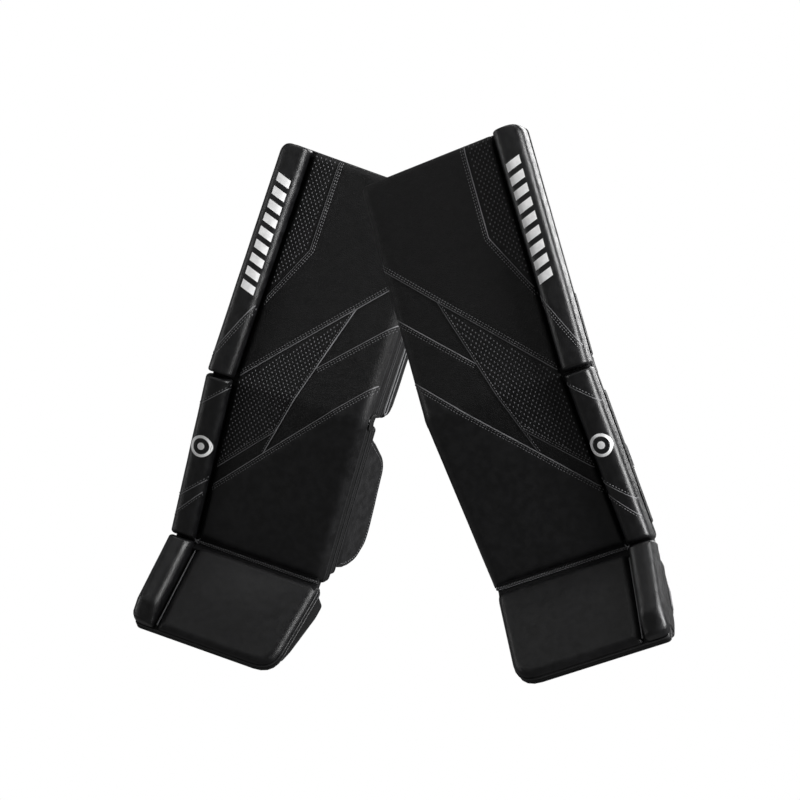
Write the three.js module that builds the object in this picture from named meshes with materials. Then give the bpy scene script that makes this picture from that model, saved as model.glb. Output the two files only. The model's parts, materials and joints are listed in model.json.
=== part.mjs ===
// A pair of ice hockey goalie leg pads, crossed at the thighs, upright as on a standing goalie's legs.
// Millimetres, +Z up. The pads face -Y, and the wearer's left is on +X. The origin is the place of the
// wearer's right shin, in the channel behind the right pad.
//
// Each pad is drawn once, as the left one, and the right one is its mirror image. It has three stiff
// sections: the shin section between two folds, the thigh rise above the knee fold and the boot below
// the ankle fold. Inside a section x runs to the outer edge, y runs back from the face and z runs up.
import * as THREE from "three";

// ---------- driving dimensions ----------
const PAD_WIDTH = 279; // over the face and the outer roll, at the knee and above it
const ANKLE_WIDTH = 266;
const TOE_WIDTH = 253;
const THIGH_LENGTH = 385; // along the face, from the knee fold to the top edge
const SHIN_LENGTH = 280;
const BOOT_LENGTH = 161;

const THIGH_LEAN = 16; // degrees that the thigh rise leans back from the shin section
const BOOT_BEND = 40; // degrees that the boot comes forward of the shin section
const PAD_PITCH = 11; // degrees that the shin section leans forward
const PAD_SPREAD = 17.7; // degrees that each pad leans in towards the other
const ANKLE_SPACING = 617; // between the two ankle folds, across
const PAD_DEPTH_SPACING = 270; // the left pad hangs this far in front of the right one

const FACE_DEPTH = 16; // the padded front panels
const CORE_DEPTH = 40; // back of the foam core, from the face
const LINER_DEPTH = 45; // back of the lining
const BOOT_CORE_DEPTH = 30;
const ROLL_RISE = 18; // how far the outer roll stands in front of the face
const ROLL_WIDTH = { top: 50.5, knee: 46.5, ankle: 43.5, toe: 42 };
const TOP_SLANT = 2.2; // degrees, the top edge rises to the outer side

const SEAM = 0.3; // gap between two pieces that touch
const KNEE_GAP = 1.5; // half the slit at the knee fold
const ANKLE_GAP = 1.2;
const KNEE_CUT = 11; // degrees that each section is cut back behind the knee fold
const ANKLE_CUT_FRONT = 24.5; // degrees that each roll is cut back in front of the ankle fold
const ANKLE_CUT_BACK = 12; // degrees that each section runs on behind the ankle fold

const WING_THICKNESS = 12;
const KNEE_WING_TURN = 30; // degrees that the outer wings turn in round the leg
const CALF_WING_TURN = 13;
const BOOT_FLAP_TURN = 8;
const INNER_WING_TURN = 14; // degrees that the inner calf wing turns out
const STRAP_THICKNESS = 3;
const STRAP_WIDTH = 38;
const TAB_WIDTH = 44;

const LEG_MOUNT = { depth: 70, height: 140 }; // the wearer's shin, from the shin section's frame

// ---------- lines that the sections share ----------
const OUTER_EDGE = PAD_WIDTH / 2;
const INNER_EDGE = { top: -OUTER_EDGE, knee: -OUTER_EDGE, ankle: OUTER_EDGE - ANKLE_WIDTH,
  toe: OUTER_EDGE - TOE_WIDTH };
const GROOVE = Object.fromEntries(
  Object.entries(ROLL_WIDTH).map(([place, width]) => [place, OUTER_EDGE - width]),
);
const CORE_OUTER_EDGE = OUTER_EDGE - 6; // the core stops short of the roll's side

const radians = THREE.MathUtils.degToRad;
const slope = (degrees) => Math.tan(radians(degrees));

// Height of a section's end beside the knee fold, at a depth behind the face.
const kneeEnd = (depth) => KNEE_GAP + Math.max(0, depth) * slope(KNEE_CUT);
// The same beside the ankle fold, where the front closes and the back opens.
const ankleEnd = (depth) =>
  ANKLE_GAP - (depth < 0 ? depth * slope(ANKLE_CUT_FRONT) : depth * slope(ANKLE_CUT_BACK));

// ---------- materials ----------
const material = (color, roughness) => new THREE.MeshStandardMaterial({ color, roughness, metalness: 0 });
const SMOOTH_LEATHER = material(0x17181a, 0.45);
const GRAINED_LEATHER = material(0x1c1d1f, 0.6);
const LINING = material(0x24262a, 0.85);
const FOAM = material(0x3a3c40, 0.9);
const NYLON = material(0x141517, 0.75);
const WEBBING = material(0x101113, 0.8);
const PLASTIC = material(0x1a1a1c, 0.5);

// ---------- shapes ----------
// A convex outline with every corner rounded by three points. Corners run anticlockwise from the front.
function roundedOutline(corners, radius) {
  const points = [];
  corners.forEach((corner, i) => {
    const before = corners[(i + corners.length - 1) % corners.length];
    const after = corners[(i + 1) % corners.length];
    const start = before.clone().sub(corner).setLength(radius).add(corner);
    const end = after.clone().sub(corner).setLength(radius).add(corner);
    const middle = start.clone().add(end).multiplyScalar(0.25).addScaledVector(corner, 0.5);
    points.push(start, middle, end);
  });
  return points;
}

// A closed solid through outlines of equal point count, each at its own depth.
function loft(layers) {
  const count = layers[0].outline.length;
  const vertices = layers.flatMap(({ depth, outline }) => outline.flatMap((p) => [p.x, depth, p.y]));
  const indices = [];
  for (let layer = 0; layer + 1 < layers.length; layer += 1) {
    for (let i = 0; i < count; i += 1) {
      const front = layer * count + i;
      const frontNext = layer * count + ((i + 1) % count);
      indices.push(front, front + count, frontNext);
      indices.push(front + count, frontNext + count, frontNext);
    }
  }
  const lastLayer = (layers.length - 1) * count;
  for (let i = 1; i + 1 < count; i += 1) {
    indices.push(0, i, i + 1);
    indices.push(lastLayer, lastLayer + i + 1, lastLayer + i);
  }
  const geometry = new THREE.BufferGeometry();
  geometry.setAttribute("position", new THREE.Float32BufferAttribute(vertices, 3));
  geometry.setIndex(indices);
  geometry.computeVertexNormals();
  return geometry;
}

// A padded panel across the pad. left and right are [at the bottom, at the top]; bottom and top are
// heights, or functions of the depth behind the face where a section's end is cut for a fold.
function panel({ left, right, bottom, top, front, back, edge = 4, corner = 10, topSlant = 0 }) {
  const heightAt = (end, depth) => (typeof end === "function" ? end(depth) : end);
  const outlineAt = (depth, inset) => {
    const low = heightAt(bottom, depth) + inset;
    const high = heightAt(top, depth) - inset;
    const slant = slope(topSlant);
    return roundedOutline(
      [
        new THREE.Vector2(left[0] + inset, low),
        new THREE.Vector2(right[0] - inset, low),
        new THREE.Vector2(right[1] - inset, high + right[1] * slant),
        new THREE.Vector2(left[1] + inset, high + left[1] * slant),
      ],
      corner,
    );
  };
  return loft([
    { depth: front, outline: outlineAt(front, edge) },
    { depth: front + edge, outline: outlineAt(front + edge, 0) },
    { depth: back - edge, outline: outlineAt(back - edge, 0) },
    { depth: back, outline: outlineAt(back, edge) },
  ]);
}

// A flat board standing on edge: its outline is [distance back from its front edge, height].
function board(outline, thickness, bevel = 2) {
  const shape = new THREE.Shape(outline.map(([back, height]) => new THREE.Vector2(back, height)));
  const geometry = new THREE.ExtrudeGeometry(shape, {
    depth: thickness - 2 * bevel,
    bevelThickness: bevel,
    bevelSize: bevel,
    bevelOffset: -bevel,
    bevelSegments: 1,
  });
  return geometry.translate(0, 0, bevel).rotateX(Math.PI / 2).rotateZ(Math.PI / 2);
}

// A strap on edge that follows a plan curve, as tall as the webbing is wide, centred on z = 0.
function band(curve, thickness, width, steps) {
  const side = (sign) =>
    Array.from({ length: steps + 1 }, (_, i) => {
      const tangent = curve.getTangent(i / steps);
      const normal = new THREE.Vector2(-tangent.y, tangent.x).multiplyScalar((sign * thickness) / 2);
      return curve.getPoint(i / steps).add(normal);
    });
  const shape = new THREE.Shape([...side(-1), ...side(1).reverse()]);
  return new THREE.ExtrudeGeometry(shape, { depth: width, bevelEnabled: false }).translate(0, 0, -width / 2);
}

// ---------- one pad ----------
// Adds a named mesh to a section at a place in it, turned about the section's height.
function place(section, name, geometry, look, x = 0, y = 0, z = 0, turn = 0) {
  const mesh = new THREE.Mesh(geometry, look);
  mesh.name = name;
  mesh.position.set(x, y, z);
  mesh.rotation.z = radians(turn);
  section.add(mesh);
}

// The four layers that a section is built of: roll, face, core and lining share the section's ends.
function addLayers(section, side, part, lines, ends, coreDepth, linerDepth) {
  const { inner, groove } = lines;
  place(section, `${side}_${part}_face`, panel({ left: inner, right: groove.map((x) => x - SEAM / 2),
    ...ends, front: 0, back: FACE_DEPTH }), SMOOTH_LEATHER);
  place(section, `${side}_${part}_core`, panel({ left: inner.map((x) => x + 1.5),
    right: [CORE_OUTER_EDGE, CORE_OUTER_EDGE], ...ends, front: FACE_DEPTH + SEAM, back: coreDepth }), FOAM);
  if (linerDepth) {
    place(section, `${side}_${part}_liner`, panel({ left: inner.map((x) => x + 3),
      right: [CORE_OUTER_EDGE - 2, CORE_OUTER_EDGE - 2], ...ends, front: coreDepth + SEAM, back: linerDepth,
      edge: 1.5 }), LINING);
  }
}

function addRoll(section, side, part, groove, ends) {
  place(section, `${side}_${part}_roll`, panel({ left: groove.map((x) => x + SEAM / 2),
    right: [OUTER_EDGE, OUTER_EDGE], ...ends, front: -ROLL_RISE, back: FACE_DEPTH, edge: 8, corner: 5 }),
  GRAINED_LEATHER);
}

// A strap from the tip of a wing round the back of the leg, and the tab on its free end.
// The strap runs from start by way of bulge to join, and the tab goes on from join to end.
function addStrap(section, side, name, height, { start, bulge, join, end }) {
  const strap = new THREE.QuadraticBezierCurve(start, bulge, join);
  place(section, `${side}_${name}`, band(strap, STRAP_THICKNESS, STRAP_WIDTH, 8), WEBBING, 0, 0, height);
  const gap = end.clone().sub(join).setLength(2 * SEAM);
  const tab = new THREE.LineCurve(join.clone().add(gap), end);
  place(section, `${side}_${name}_tab`, band(tab, STRAP_THICKNESS + 2, TAB_WIDTH, 1), PLASTIC, 0, 0, height);
}

const vector = (x, y) => new THREE.Vector2(x, y);

function addThighSection(section, side) {
  const lines = { inner: [INNER_EDGE.knee, INNER_EDGE.top], groove: [GROOVE.knee, GROOVE.top] };
  const ends = { bottom: kneeEnd, top: THIGH_LENGTH, topSlant: TOP_SLANT };
  addLayers(section, side, "thigh", lines, ends, CORE_DEPTH, LINER_DEPTH);
  addRoll(section, side, "thigh", lines.groove, ends);

  const block = { left: [INNER_EDGE.knee + 1, INNER_EDGE.knee + 1], right: [-78, -78], top: 152, edge: 3,
    corner: 8 };
  const base = LINER_DEPTH + SEAM;
  place(section, `${side}_knee_block_base`, panel({ ...block, bottom: kneeEnd, front: base, back: 70 }),
    NYLON);
  place(section, `${side}_knee_block_riser`, panel({ ...block, bottom: 17, top: 150, front: 70 + SEAM,
    back: 88 }), SMOOTH_LEATHER);
  place(section, `${side}_knee_landing_pad`, panel({ ...block, bottom: 20, front: 88 + SEAM, back: 118,
    edge: 8 }), NYLON);
  place(section, `${side}_knee_cradle`, panel({ left: [-74, -74], right: [62, 62], bottom: 14, top: 128,
    front: base, back: 60, edge: 5, corner: 14 }), LINING);

  const wing = [[0, 20], [12, 14], [64, 22], [80, 40], [80, 96], [66, 118], [10, 134], [0, 128]];
  place(section, `${side}_outer_knee_wing`, board(wing, WING_THICKNESS), SMOOTH_LEATHER,
    CORE_OUTER_EDGE - 14, base + 2, 0, KNEE_WING_TURN);
  addStrap(section, side, "knee_strap", 68, { start: vector(78, 121), bulge: vector(0, 158),
    join: vector(-72, 130), end: vector(-124, 122) });
}

function addShinSection(section, side) {
  const lines = { inner: [INNER_EDGE.ankle, INNER_EDGE.knee], groove: [GROOVE.ankle, GROOVE.knee] };
  const ends = { bottom: ankleEnd, top: (depth) => SHIN_LENGTH - kneeEnd(depth) };
  addLayers(section, side, "shin", lines, ends, CORE_DEPTH, LINER_DEPTH);
  addRoll(section, side, "shin", lines.groove, ends);

  const base = LINER_DEPTH + SEAM;
  place(section, `${side}_inner_gusset`, panel({ left: lines.inner.map((x) => x + 3),
    right: lines.inner.map((x) => x + 24), bottom: 4, top: 260, front: base, back: 64, corner: 6 }), NYLON);
  place(section, `${side}_calf_cushion`, panel({ left: [-68, -68], right: [70, 70], bottom: 30, top: 240,
    front: base, back: 58, edge: 5, corner: 18 }), LINING);

  const innerWing = [[0, 12], [30, 8], [58, 20], [75, 46], [78, 70], [78, 176], [70, 194], [18, 240],
    [0, 246]];
  place(section, `${side}_inner_calf_wing`, board(innerWing, WING_THICKNESS), SMOOTH_LEATHER,
    INNER_EDGE.ankle + 4, 66.5, 0, INNER_WING_TURN);
  const outerWing = [[0, 14], [16, 8], [70, 24], [95, 60], [95, 168], [76, 206], [18, 244], [0, 236]];
  place(section, `${side}_outer_calf_wing`, board(outerWing, WING_THICKNESS), SMOOTH_LEATHER,
    CORE_OUTER_EDGE - 14, base + 2, 0, CALF_WING_TURN);
  addStrap(section, side, "calf_strap", 118, { start: vector(98, 143.5), bulge: vector(0, 180),
    join: vector(-78, 157), end: vector(-126, 151) });
}

function addBootSection(section, side) {
  const lines = { inner: [INNER_EDGE.toe, INNER_EDGE.ankle], groove: [GROOVE.toe, GROOVE.ankle] };
  const ends = { bottom: -BOOT_LENGTH, top: (depth) => -ankleEnd(depth) };
  addLayers(section, side, "boot", lines, ends, BOOT_CORE_DEPTH);
  addRoll(section, side, "boot", lines.groove, ends);

  const base = BOOT_CORE_DEPTH + SEAM;
  const gusset = [[0, -154], [4, -154], [16, -120], [38, -30], [36, -10], [0, -10]];
  // The gusset follows the boot's inner edge, which comes in towards the toe.
  const taper = (INNER_EDGE.ankle - INNER_EDGE.toe) / BOOT_LENGTH;
  const alongEdge = new THREE.Matrix4().makeShear(0, 0, 0, 0, taper, 0);
  place(section, `${side}_inner_boot_gusset`, board(gusset, 18).applyMatrix4(alongEdge), NYLON,
    INNER_EDGE.ankle + 1, base, 0);
  const flap = [[0, -146], [40, -132], [56, -104], [56, -40], [44, -18], [0, -12]];
  place(section, `${side}_outer_boot_flap`, board(flap, WING_THICKNESS), SMOOTH_LEATHER,
    CORE_OUTER_EDGE - 14, base + 2, 0, BOOT_FLAP_TURN);
  place(section, `${side}_toe_bridge`, panel({ left: [-34, -34], right: [40, 40], bottom: -156, top: -128,
    front: base, back: base + 7, edge: 1.5, corner: 5 }), PLASTIC);
  addStrap(section, side, "boot_strap", -62, { start: vector(111, 92.5), bulge: vector(4, 131),
    join: vector(-58, 99), end: vector(-102, 82) });
}

// A whole pad in the frame of its shin section, whose origin is on the face at the ankle fold.
function buildPad(side) {
  const pad = new THREE.Group();
  pad.name = `${side}_shin_section`;
  addShinSection(pad, side);

  const thigh = new THREE.Group();
  thigh.name = `${side}_thigh_section`;
  thigh.position.z = SHIN_LENGTH;
  thigh.rotation.x = radians(-THIGH_LEAN);
  addThighSection(thigh, side);
  pad.add(thigh);

  const boot = new THREE.Group();
  boot.name = `${side}_boot_section`;
  boot.rotation.x = radians(-BOOT_BEND);
  addBootSection(boot, side);
  pad.add(boot);
  return pad;
}

// ---------- the pair ----------
function buildPair() {
  const pair = new THREE.Group();
  const right = buildPad("right");
  right.scale.x = -1;
  right.position.set(-ANKLE_SPACING / 2, PAD_DEPTH_SPACING / 2, 0);
  right.rotation.set(radians(PAD_PITCH), radians(PAD_SPREAD), 0, "YXZ");

  const left = buildPad("left");
  left.position.set(ANKLE_SPACING / 2, -PAD_DEPTH_SPACING / 2, 0);
  left.rotation.set(radians(PAD_PITCH), radians(-PAD_SPREAD), 0, "YXZ");
  pair.add(right, left);

  right.updateMatrixWorld(true);
  const rightShin = right.localToWorld(new THREE.Vector3(0, LEG_MOUNT.depth, LEG_MOUNT.height));
  pair.position.copy(rightShin).negate();
  return pair;
}

const legPads = new THREE.Group();
legPads.add(buildPair());
export default legPads;
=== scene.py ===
"""The looks of a pair of ice hockey goalie leg pads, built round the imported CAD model.

A pad is drawn once, as the left one, in millimetres, and the right one is its mirror image. Each piece is
drawn on a flat sheet, as (across, back, up): across to the pad's outer edge, back from its face and up
along it. A placing then carries the sheet to the row frame, in metres. A pad has three stiff sections,
each with a placing of its own: the thigh rise, the shin and the boot. The joints of the frame give them.
"""
import json
import math

import bmesh
import bpy
import numpy as np
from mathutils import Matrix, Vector, noise
from mathutils.bvhtree import BVHTree


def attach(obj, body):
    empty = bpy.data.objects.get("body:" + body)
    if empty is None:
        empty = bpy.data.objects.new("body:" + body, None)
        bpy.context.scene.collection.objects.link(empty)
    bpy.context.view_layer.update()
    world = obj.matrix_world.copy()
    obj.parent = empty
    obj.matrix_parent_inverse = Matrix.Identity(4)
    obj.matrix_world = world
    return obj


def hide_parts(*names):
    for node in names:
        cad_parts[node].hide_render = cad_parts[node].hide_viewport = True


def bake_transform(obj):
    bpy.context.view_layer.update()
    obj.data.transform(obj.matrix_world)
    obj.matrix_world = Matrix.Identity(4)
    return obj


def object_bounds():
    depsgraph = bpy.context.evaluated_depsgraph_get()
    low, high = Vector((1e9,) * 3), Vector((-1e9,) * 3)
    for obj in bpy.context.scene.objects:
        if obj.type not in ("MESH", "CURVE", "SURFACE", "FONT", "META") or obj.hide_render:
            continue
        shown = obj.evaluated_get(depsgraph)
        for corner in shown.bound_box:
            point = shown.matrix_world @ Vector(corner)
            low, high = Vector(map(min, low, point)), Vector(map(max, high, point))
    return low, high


MM = 0.001
NOISE_SEED = 3  # without a seed, Blender's vector noise is different in each run

# ---------- driving dimensions, in millimetres and degrees ----------
KNEE_CUT = 11  # each section is cut back this far behind the knee fold
ANKLE_CUT_FRONT = 24.5  # each roll is cut back this far in front of the ankle fold
ANKLE_CUT_BACK = 12  # each section runs on this far behind the ankle fold
KNEE_GAP = 1.5  # half the slit between two sections' faces
ANKLE_GAP = 1.2
TOP_SLANT = 2.2  # the top edge rises to the outer side
KNEE_ROUND = 12  # the face cover turns over the knee fold within this distance
KNEE_BEND = 18  # half the length of face that bends at the knee
FOLD_REACH = 12  # how far the soft strip inside a fold goes into each section
CHANNEL = 3.5  # from the groove's middle to the wall of the face or of the roll beside it

FACE_EDGE = 18  # how far in from its inner and ankle edges the face cover is rounded
FACE_GROOVE_EDGE = 6  # the same beside the groove
FACE_TOP_EDGE = 9  # and at the top
FACE_FALL = 14  # the most that its edges fall back
FACE_CORNERS = (13, 5)  # rounding of its inner and outer top corners
FACE_CROWN = 2.5
FACE_CROWN_END = 90  # the crown dies away over this distance from the top and from the ankle
FACE_STEP = 8  # size of the face's grid
STITCH = {"pitch": 5.0, "length": 3.3, "width": 1.3, "height": 0.8}
PERFORATION = {"across": 8.0, "along": 10.5, "length": 3.4, "width": 2.2, "height": 0.6, "margin": 6.0}
SEAM_LIP = {"height": 0.9, "fade": 16, "dip": 0.35, "dip_fade": 5}  # the step between two leather layers
STITCH_PULL = 0.55  # how deep a row of stitches pulls the leather in
# The ripples of each kind of piece: how high they are, how far apart, and where in the noise they start.
RIPPLES = {
    "face": (0.3, 60, 3.0),
    "roll": (0.4, 45, 11.0),
    "casing": (0.35, 40, 5.0),
    "boot": (0.4, 50, 7.0),
    "knee_block": (0.35, 30, 4.0),
    "gusset": (0.4, 30, 9.0),
    "boot_gusset": (0.4, 30, 2.0),
    "wing": (0.4, 40, 6.0),
}
PIPING = 1.5  # radius
EDGE_LINE = {"width": 1.3, "height": 0.7}  # of a raw edge
PRINT = {"lift": 0.45, "sink": 0.2}  # how far printed marks stand off a surface, and reach into it
THREAD_PITCH = 3.6  # of the small stitched squares on straps

# The camera, on a line through the middle of the picture.
CAMERA_AZIMUTH = 18.39
CAMERA_ELEVATION = -0.78
CAMERA_DISTANCE = 7.092  # metres
CAMERA_TARGET = (0.1973, 0.0, 0.11415)  # metres
CAMERA_LENS = 198.4
SENSOR = 36

# ---------- seams on the face: points are (across, height above the ankle fold) ----------
# Rows of stitches run beside a seam's raw edge: on its left as the points run, or on its right if negative.
SEAMS = {
    "strip": {"points": [(40, 680), (40, 515), (92, 411)], "rows": (-3.2, -6.6)},
    "upper": {"points": [(93, 283), (-66, 448), (-142, 528)], "rows": (-3.2, -6.6)},
    "middle": {"points": [(-66, 448), (4, 221), (17, 179)], "rows": (3.2,)},
    "short": {"points": [(4, 221), (96, 125)], "rows": (3.2, 6.6)},
    "lower": {"points": [(-142, 347), (17, 179), (98, 92)], "rows": (-3.2, -6.6)},
    "side": {"points": [(-32, 337), (-142, 448)], "rows": (3.2, 6.6)},
}
THIGH_ROLL_SEAMS = [{"points": [(88, 420), (141, 305)], "rows": (-3.2, -6.6)}]
SHIN_ROLL_SEAMS = [
    {"points": [(92, 269), (141, 223)], "rows": (3.2,)},
    {"points": [(94, 112), (141, 66)], "rows": (3.2,)},
    {"points": [(94, 94), (141, 37)], "rows": (-3.2,)},
]
# The perforated parts of the face, as outlines.
PERFORATED = [
    [(92, 284), (-65, 448), (4, 221), (95, 127)],
    [(40, 668), (40, 515), (91, 411), (89, 668)],
]

# ---------- the outer rolls ----------
ROLL_CROWN = 1.6
ROLL_RINGS = {"end": 4.0, "fine": 28, "step": 7}  # rounding of its ends, then how its rings are spaced
ROLL_RADII = (17, 14, 3, 3)  # rounding of the roll's edges: inner front, outer front, outer back, inner back
TOP_CORNER = 20  # rounding of the thigh roll's outer top corner
TOE_CHAMFER = {"length": 31, "slope": 0.52, "corner": 15}  # of the boot roll's toe end
# A column of plain bars: its place across, the height of the first bar's middle, and each bar's size.
ROLL_BARS = {
    "across": 114, "first": 148, "pitch": 22.5, "count": 9, "length": 24, "width": 13.5, "slant": 0.32,
}
BADGE = {"across": 117, "up": 162, "outer": 18.0, "inner": 13.5, "dot": 6.0}

# ---------- casings, folds and the boot ----------
CORD_CLEAR = 2.4  # a piped cord lies inside the casing along a fold, so that two cords never meet
# The strip at each side of the knee fold: where it starts and ends behind the face, how far it reaches from
# the fold at those two places, its thickness, and how far it stands off the casing.
FOLD_SIDE = {"front": 19, "back": 38, "front_reach": 15, "back_reach": 19, "thickness": 2.4, "off": 0.6}
FOLD_LINING = {"front": 5, "knee_back": 36, "ankle_back": 26, "inner": 4, "outer": 5, "rounding": 3}
# The corded seam in the ankle fold and the zigzag of thread over it.
CREASE = {"radius": 2.3, "depth": 5.5, "pitch": 4.5, "thread": (4.2, 1.1, 0.8)}
BOOT_CROWN = 5
BOOT_EDGE = 12.5  # rounding of the edge of the boot's face
BOOT_CHANNEL_CORD = {"radius": 1.1, "depth": 9.0, "off": 1.2}  # the cord in the channel beside its roll
EYELETS = {"count": 4, "margin": 13, "inner": 4.2, "outer": 5.6, "cord": 0.9}  # rims on the toe bridge
BOOT_CORNERS = (34, 8, 14, 14)  # rounding of its corners, from the toe's inner one, anticlockwise

# ---------- behind the pad ----------
LANDING_CHAMFER = 15
# The U of cord on the riser: its radius and its distance from the riser's top, bottom, edges and side.
BLOCK_LOOP = {"radius": 1.4, "top": 6, "bottom": 5, "edges": 2.5, "side": 1.6}
# The soft pads: how far they lie inside the CAD's, their corners, and the sewn channels.
CUSHION = {
    "inset": 3, "corner": 18, "edge": 4.5, "channel_end": 10, "channel_depth": 3.2, "channel_width": 5,
}
# How the soft pads behind the leg are swollen: the most that a point moves, and the cloth's settings.
SWELLING = {"cap": 6, "voxel": 5.0, "pressure": 4.0, "frames": 20, "stiffness": 15, "bending": 0.8}
# Outlines on edge, anticlockwise: [distance back from the front edge, height in the section].
GUSSET_THICKNESS = 18
BOOT_GUSSET = [(0, -132), (5, -132), (17, -108), (38, -30), (36, -10), (0, -10)]
WINGS = {
    "outer_knee_wing": {
        "section": "thigh", "turn": 30, "start": (119.5, 47.3), "facing": 1,
        "outline": [(0, 20), (12, 14), (64, 22), (80, 40), (80, 96), (66, 118), (10, 134), (0, 128)],
        "hinge": [(134.6, 36), (134.4, 45), (131.5, 54), (127.6, 62)], "reach": (24, 122), "fold": None,
        "anchor": (70, 68),
    },
    "outer_calf_wing": {
        "section": "shin", "turn": 13, "start": (119.5, 47.3), "facing": 1,
        "outline": [(0, 14), (16, 8), (70, 24), (95, 60), (95, 168), (76, 206), (18, 244), (0, 236)],
        "hinge": [(134.6, 36), (134.6, 45), (132.6, 54), (130.6, 62)], "reach": (20, 232), "fold": 34,
        "anchor": (84, 118),
    },
    "outer_boot_flap": {
        "section": "boot", "turn": 8, "start": (119.5, 32.3), "facing": 1,
        "outline": [(0, -146), (40, -132), (56, -104), (56, -40), (44, -18), (0, -12)],
        "hinge": [(134.6, 22), (134.8, 31), (133.6, 40), (132.4, 48)], "reach": (-138, -20), "fold": None,
        "anchor": (46, -62),
    },
    "inner_calf_wing": {
        "section": "shin", "turn": 14, "start": (-122.5, 66.5), "facing": -1,
        "outline": [
            (0, 12), (30, 8), (58, 20), (75, 46), (78, 70), (78, 176), (70, 194), (18, 240), (0, 246),
        ],
        "hinge": [(-121.8, 58), (-122.8, 64), (-124.3, 70), (-126.1, 77)], "reach": (18, 238), "fold": 30,
        "anchor": None,
    },
}
WING_THICKNESS = 12
WING_CORNER = 10
WING_EDGE = 4.5  # rounding of its edges
WING_BINDING = {"inset": 2.1, "radius": 2.4}
WING_CREASE = {"depth": 1.6, "width": 3}  # the pressed line that a wing folds along
WING_STITCHES = 8  # how far in from the edge the stitches run
HINGE_THICKNESS = 2.2
# The patch that holds a strap: where it ends either side of the anchor, and its square of stitches.
PATCH = {"across": (-14, 8), "up": (-20, 20), "square": (-11, 5, -16, 16)}
WING_BARS = {"across": 47, "first": 40, "pitch": 21, "count": 8, "length": 26, "width": 11, "slant": -0.3}
# Straps in plan, (across, back): they run from start by way of bulge to join, and the tab on to end.
STRAPS = {
    "knee_strap": {
        "section": "thigh", "up": 68,
        "start": (78, 121), "bulge": (0, 158), "join": (-72, 130), "end": (-124, 122),
    },
    "calf_strap": {
        "section": "shin", "up": 118,
        "start": (98, 143.5), "bulge": (0, 180), "join": (-78, 157), "end": (-126, 151),
    },
    "boot_strap": {
        "section": "boot", "up": -62,
        "start": (111, 92.5), "bulge": (4, 131), "join": (-58, 99), "end": (-102, 82),
    },
}
STRAP = {"thickness": 2.6, "width": 38, "ribs": 5, "rib": 0.45}
TAB = {"thickness": 5, "width": 44}

# ---------- the studio, in metres and watts ----------
SKY = 0.14  # how brightly the surround lights the pads, where 1 is white
FLOOR = 0.17
# Each light's name, place, target, size and power.
LIGHTS = [
    ("key", (2.9, -0.7, 0.8), (0, 0, 0.1), (1.0, 2.6), 210),
    ("fill", (-3.0, -1.2, 0.8), (0, 0, 0.1), (0.8, 2.2), 22),
    ("top", (0.3, -0.4, 3.0), (0, 0, 0), (2.4, 1.2), 24),
    ("front", (-0.6, -3.0, 2.2), (0.1, 0, 0.1), (2.0, 1.6), 7),
    ("back", (0.8, 3.2, 1.4), (0, 0, 0.1), (2.2, 1.6), 60),
]


# ======================================== shapes ========================================
class Shape:
    """Points (across, back, up) in millimetres and faces that all turn the same way."""

    def __init__(self, points, faces, patches=None):
        self.points = np.array(points, float).reshape(-1, 3)
        self.faces = [tuple(int(i) for i in face) for face in faces]
        self.patches = patches  # the material of each face, if a piece has more than one

    def tree(self):
        return BVHTree.FromPolygons([Vector(p) for p in self.points], self.faces)


def joined(shapes):
    """Several shapes as one. A shape that would have run off its surface is None, and is left out."""
    points, faces, start = [], [], 0
    for shape in filter(None, shapes):
        points.append(shape.points)
        faces += [tuple(i + start for i in face) for face in shape.faces]
        start += len(shape.points)
    return Shape(np.concatenate(points), faces)


def unit(vector):
    return vector / max(np.linalg.norm(vector), 1e-9)


def left_of(direction):
    """A flat direction turned to its left."""
    return np.array([-direction[1], direction[0]])


def box(left, right, low, high):
    """The corners of a rectangle, anticlockwise."""
    return [(left, low), (right, low), (right, high), (left, high)]


def at_depth(across_up, depth):
    """Points (across, up) as points of a sheet at one depth."""
    return np.column_stack([across_up[:, 0], np.full(len(across_up), depth), across_up[:, 1]])


def fall(distance, radius):
    """How far a rounded edge has fallen back, at a distance in from it."""
    reach = np.clip(1 - np.asarray(distance, float) / radius, 0, 1)
    return radius * (1 - np.sqrt(1 - reach**2))


def shrunk(corners, inset):
    """An anticlockwise outline with each side moved inwards."""
    moved = []
    for i, corner in enumerate(corners):
        before = unit(corner - corners[i - 1])
        after = unit(corners[(i + 1) % len(corners)] - corner)
        moved.append(corner + left_of(before + after) * inset / (1 + before @ after))
    return moved


def rounded(corners, radius, spans, arc=6):
    """The points round an outline. radius is one number or one for each corner, and spans says how many
    steps each straight stretch has, so that outlines of different size can be lofted."""
    points = []
    radii = radius if hasattr(radius, "__len__") else [radius] * len(corners)
    ends = []
    for i, corner in enumerate(corners):
        before, after = corners[i - 1], corners[(i + 1) % len(corners)]
        reach = [min(radii[i], 0.46 * np.linalg.norm(other - corner)) for other in (before, after)]
        ends.append((corner + unit(before - corner) * reach[0], corner + unit(after - corner) * reach[1]))
    for i, corner in enumerate(corners):
        start, end = ends[i]
        for t in np.linspace(0, 1, arc):
            points.append((1 - t) ** 2 * start + 2 * t * (1 - t) * corner + t**2 * end)
        following = ends[(i + 1) % len(corners)][0]
        for step in range(1, spans[i]):
            points.append(end + (following - end) * step / spans[i])
    return np.array(points)


def outline(corners_at, radius, step=8):
    """A function of depth and inset that gives the points round a piece there. corners_at gives the
    anticlockwise corners at a depth."""
    sides = np.array(corners_at(0.0), float)
    spans = []
    for i, side in enumerate(sides):
        length = np.linalg.norm(sides[(i + 1) % len(sides)] - side)
        spans.append(max(2, round(length / step)))

    def at(depth, inset):
        corners = shrunk([np.array(c, float) for c in corners_at(depth)], inset)
        return rounded(corners, np.maximum(np.full(len(corners), radius) - 0.6 * inset, 1.5), spans)

    return at


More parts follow.
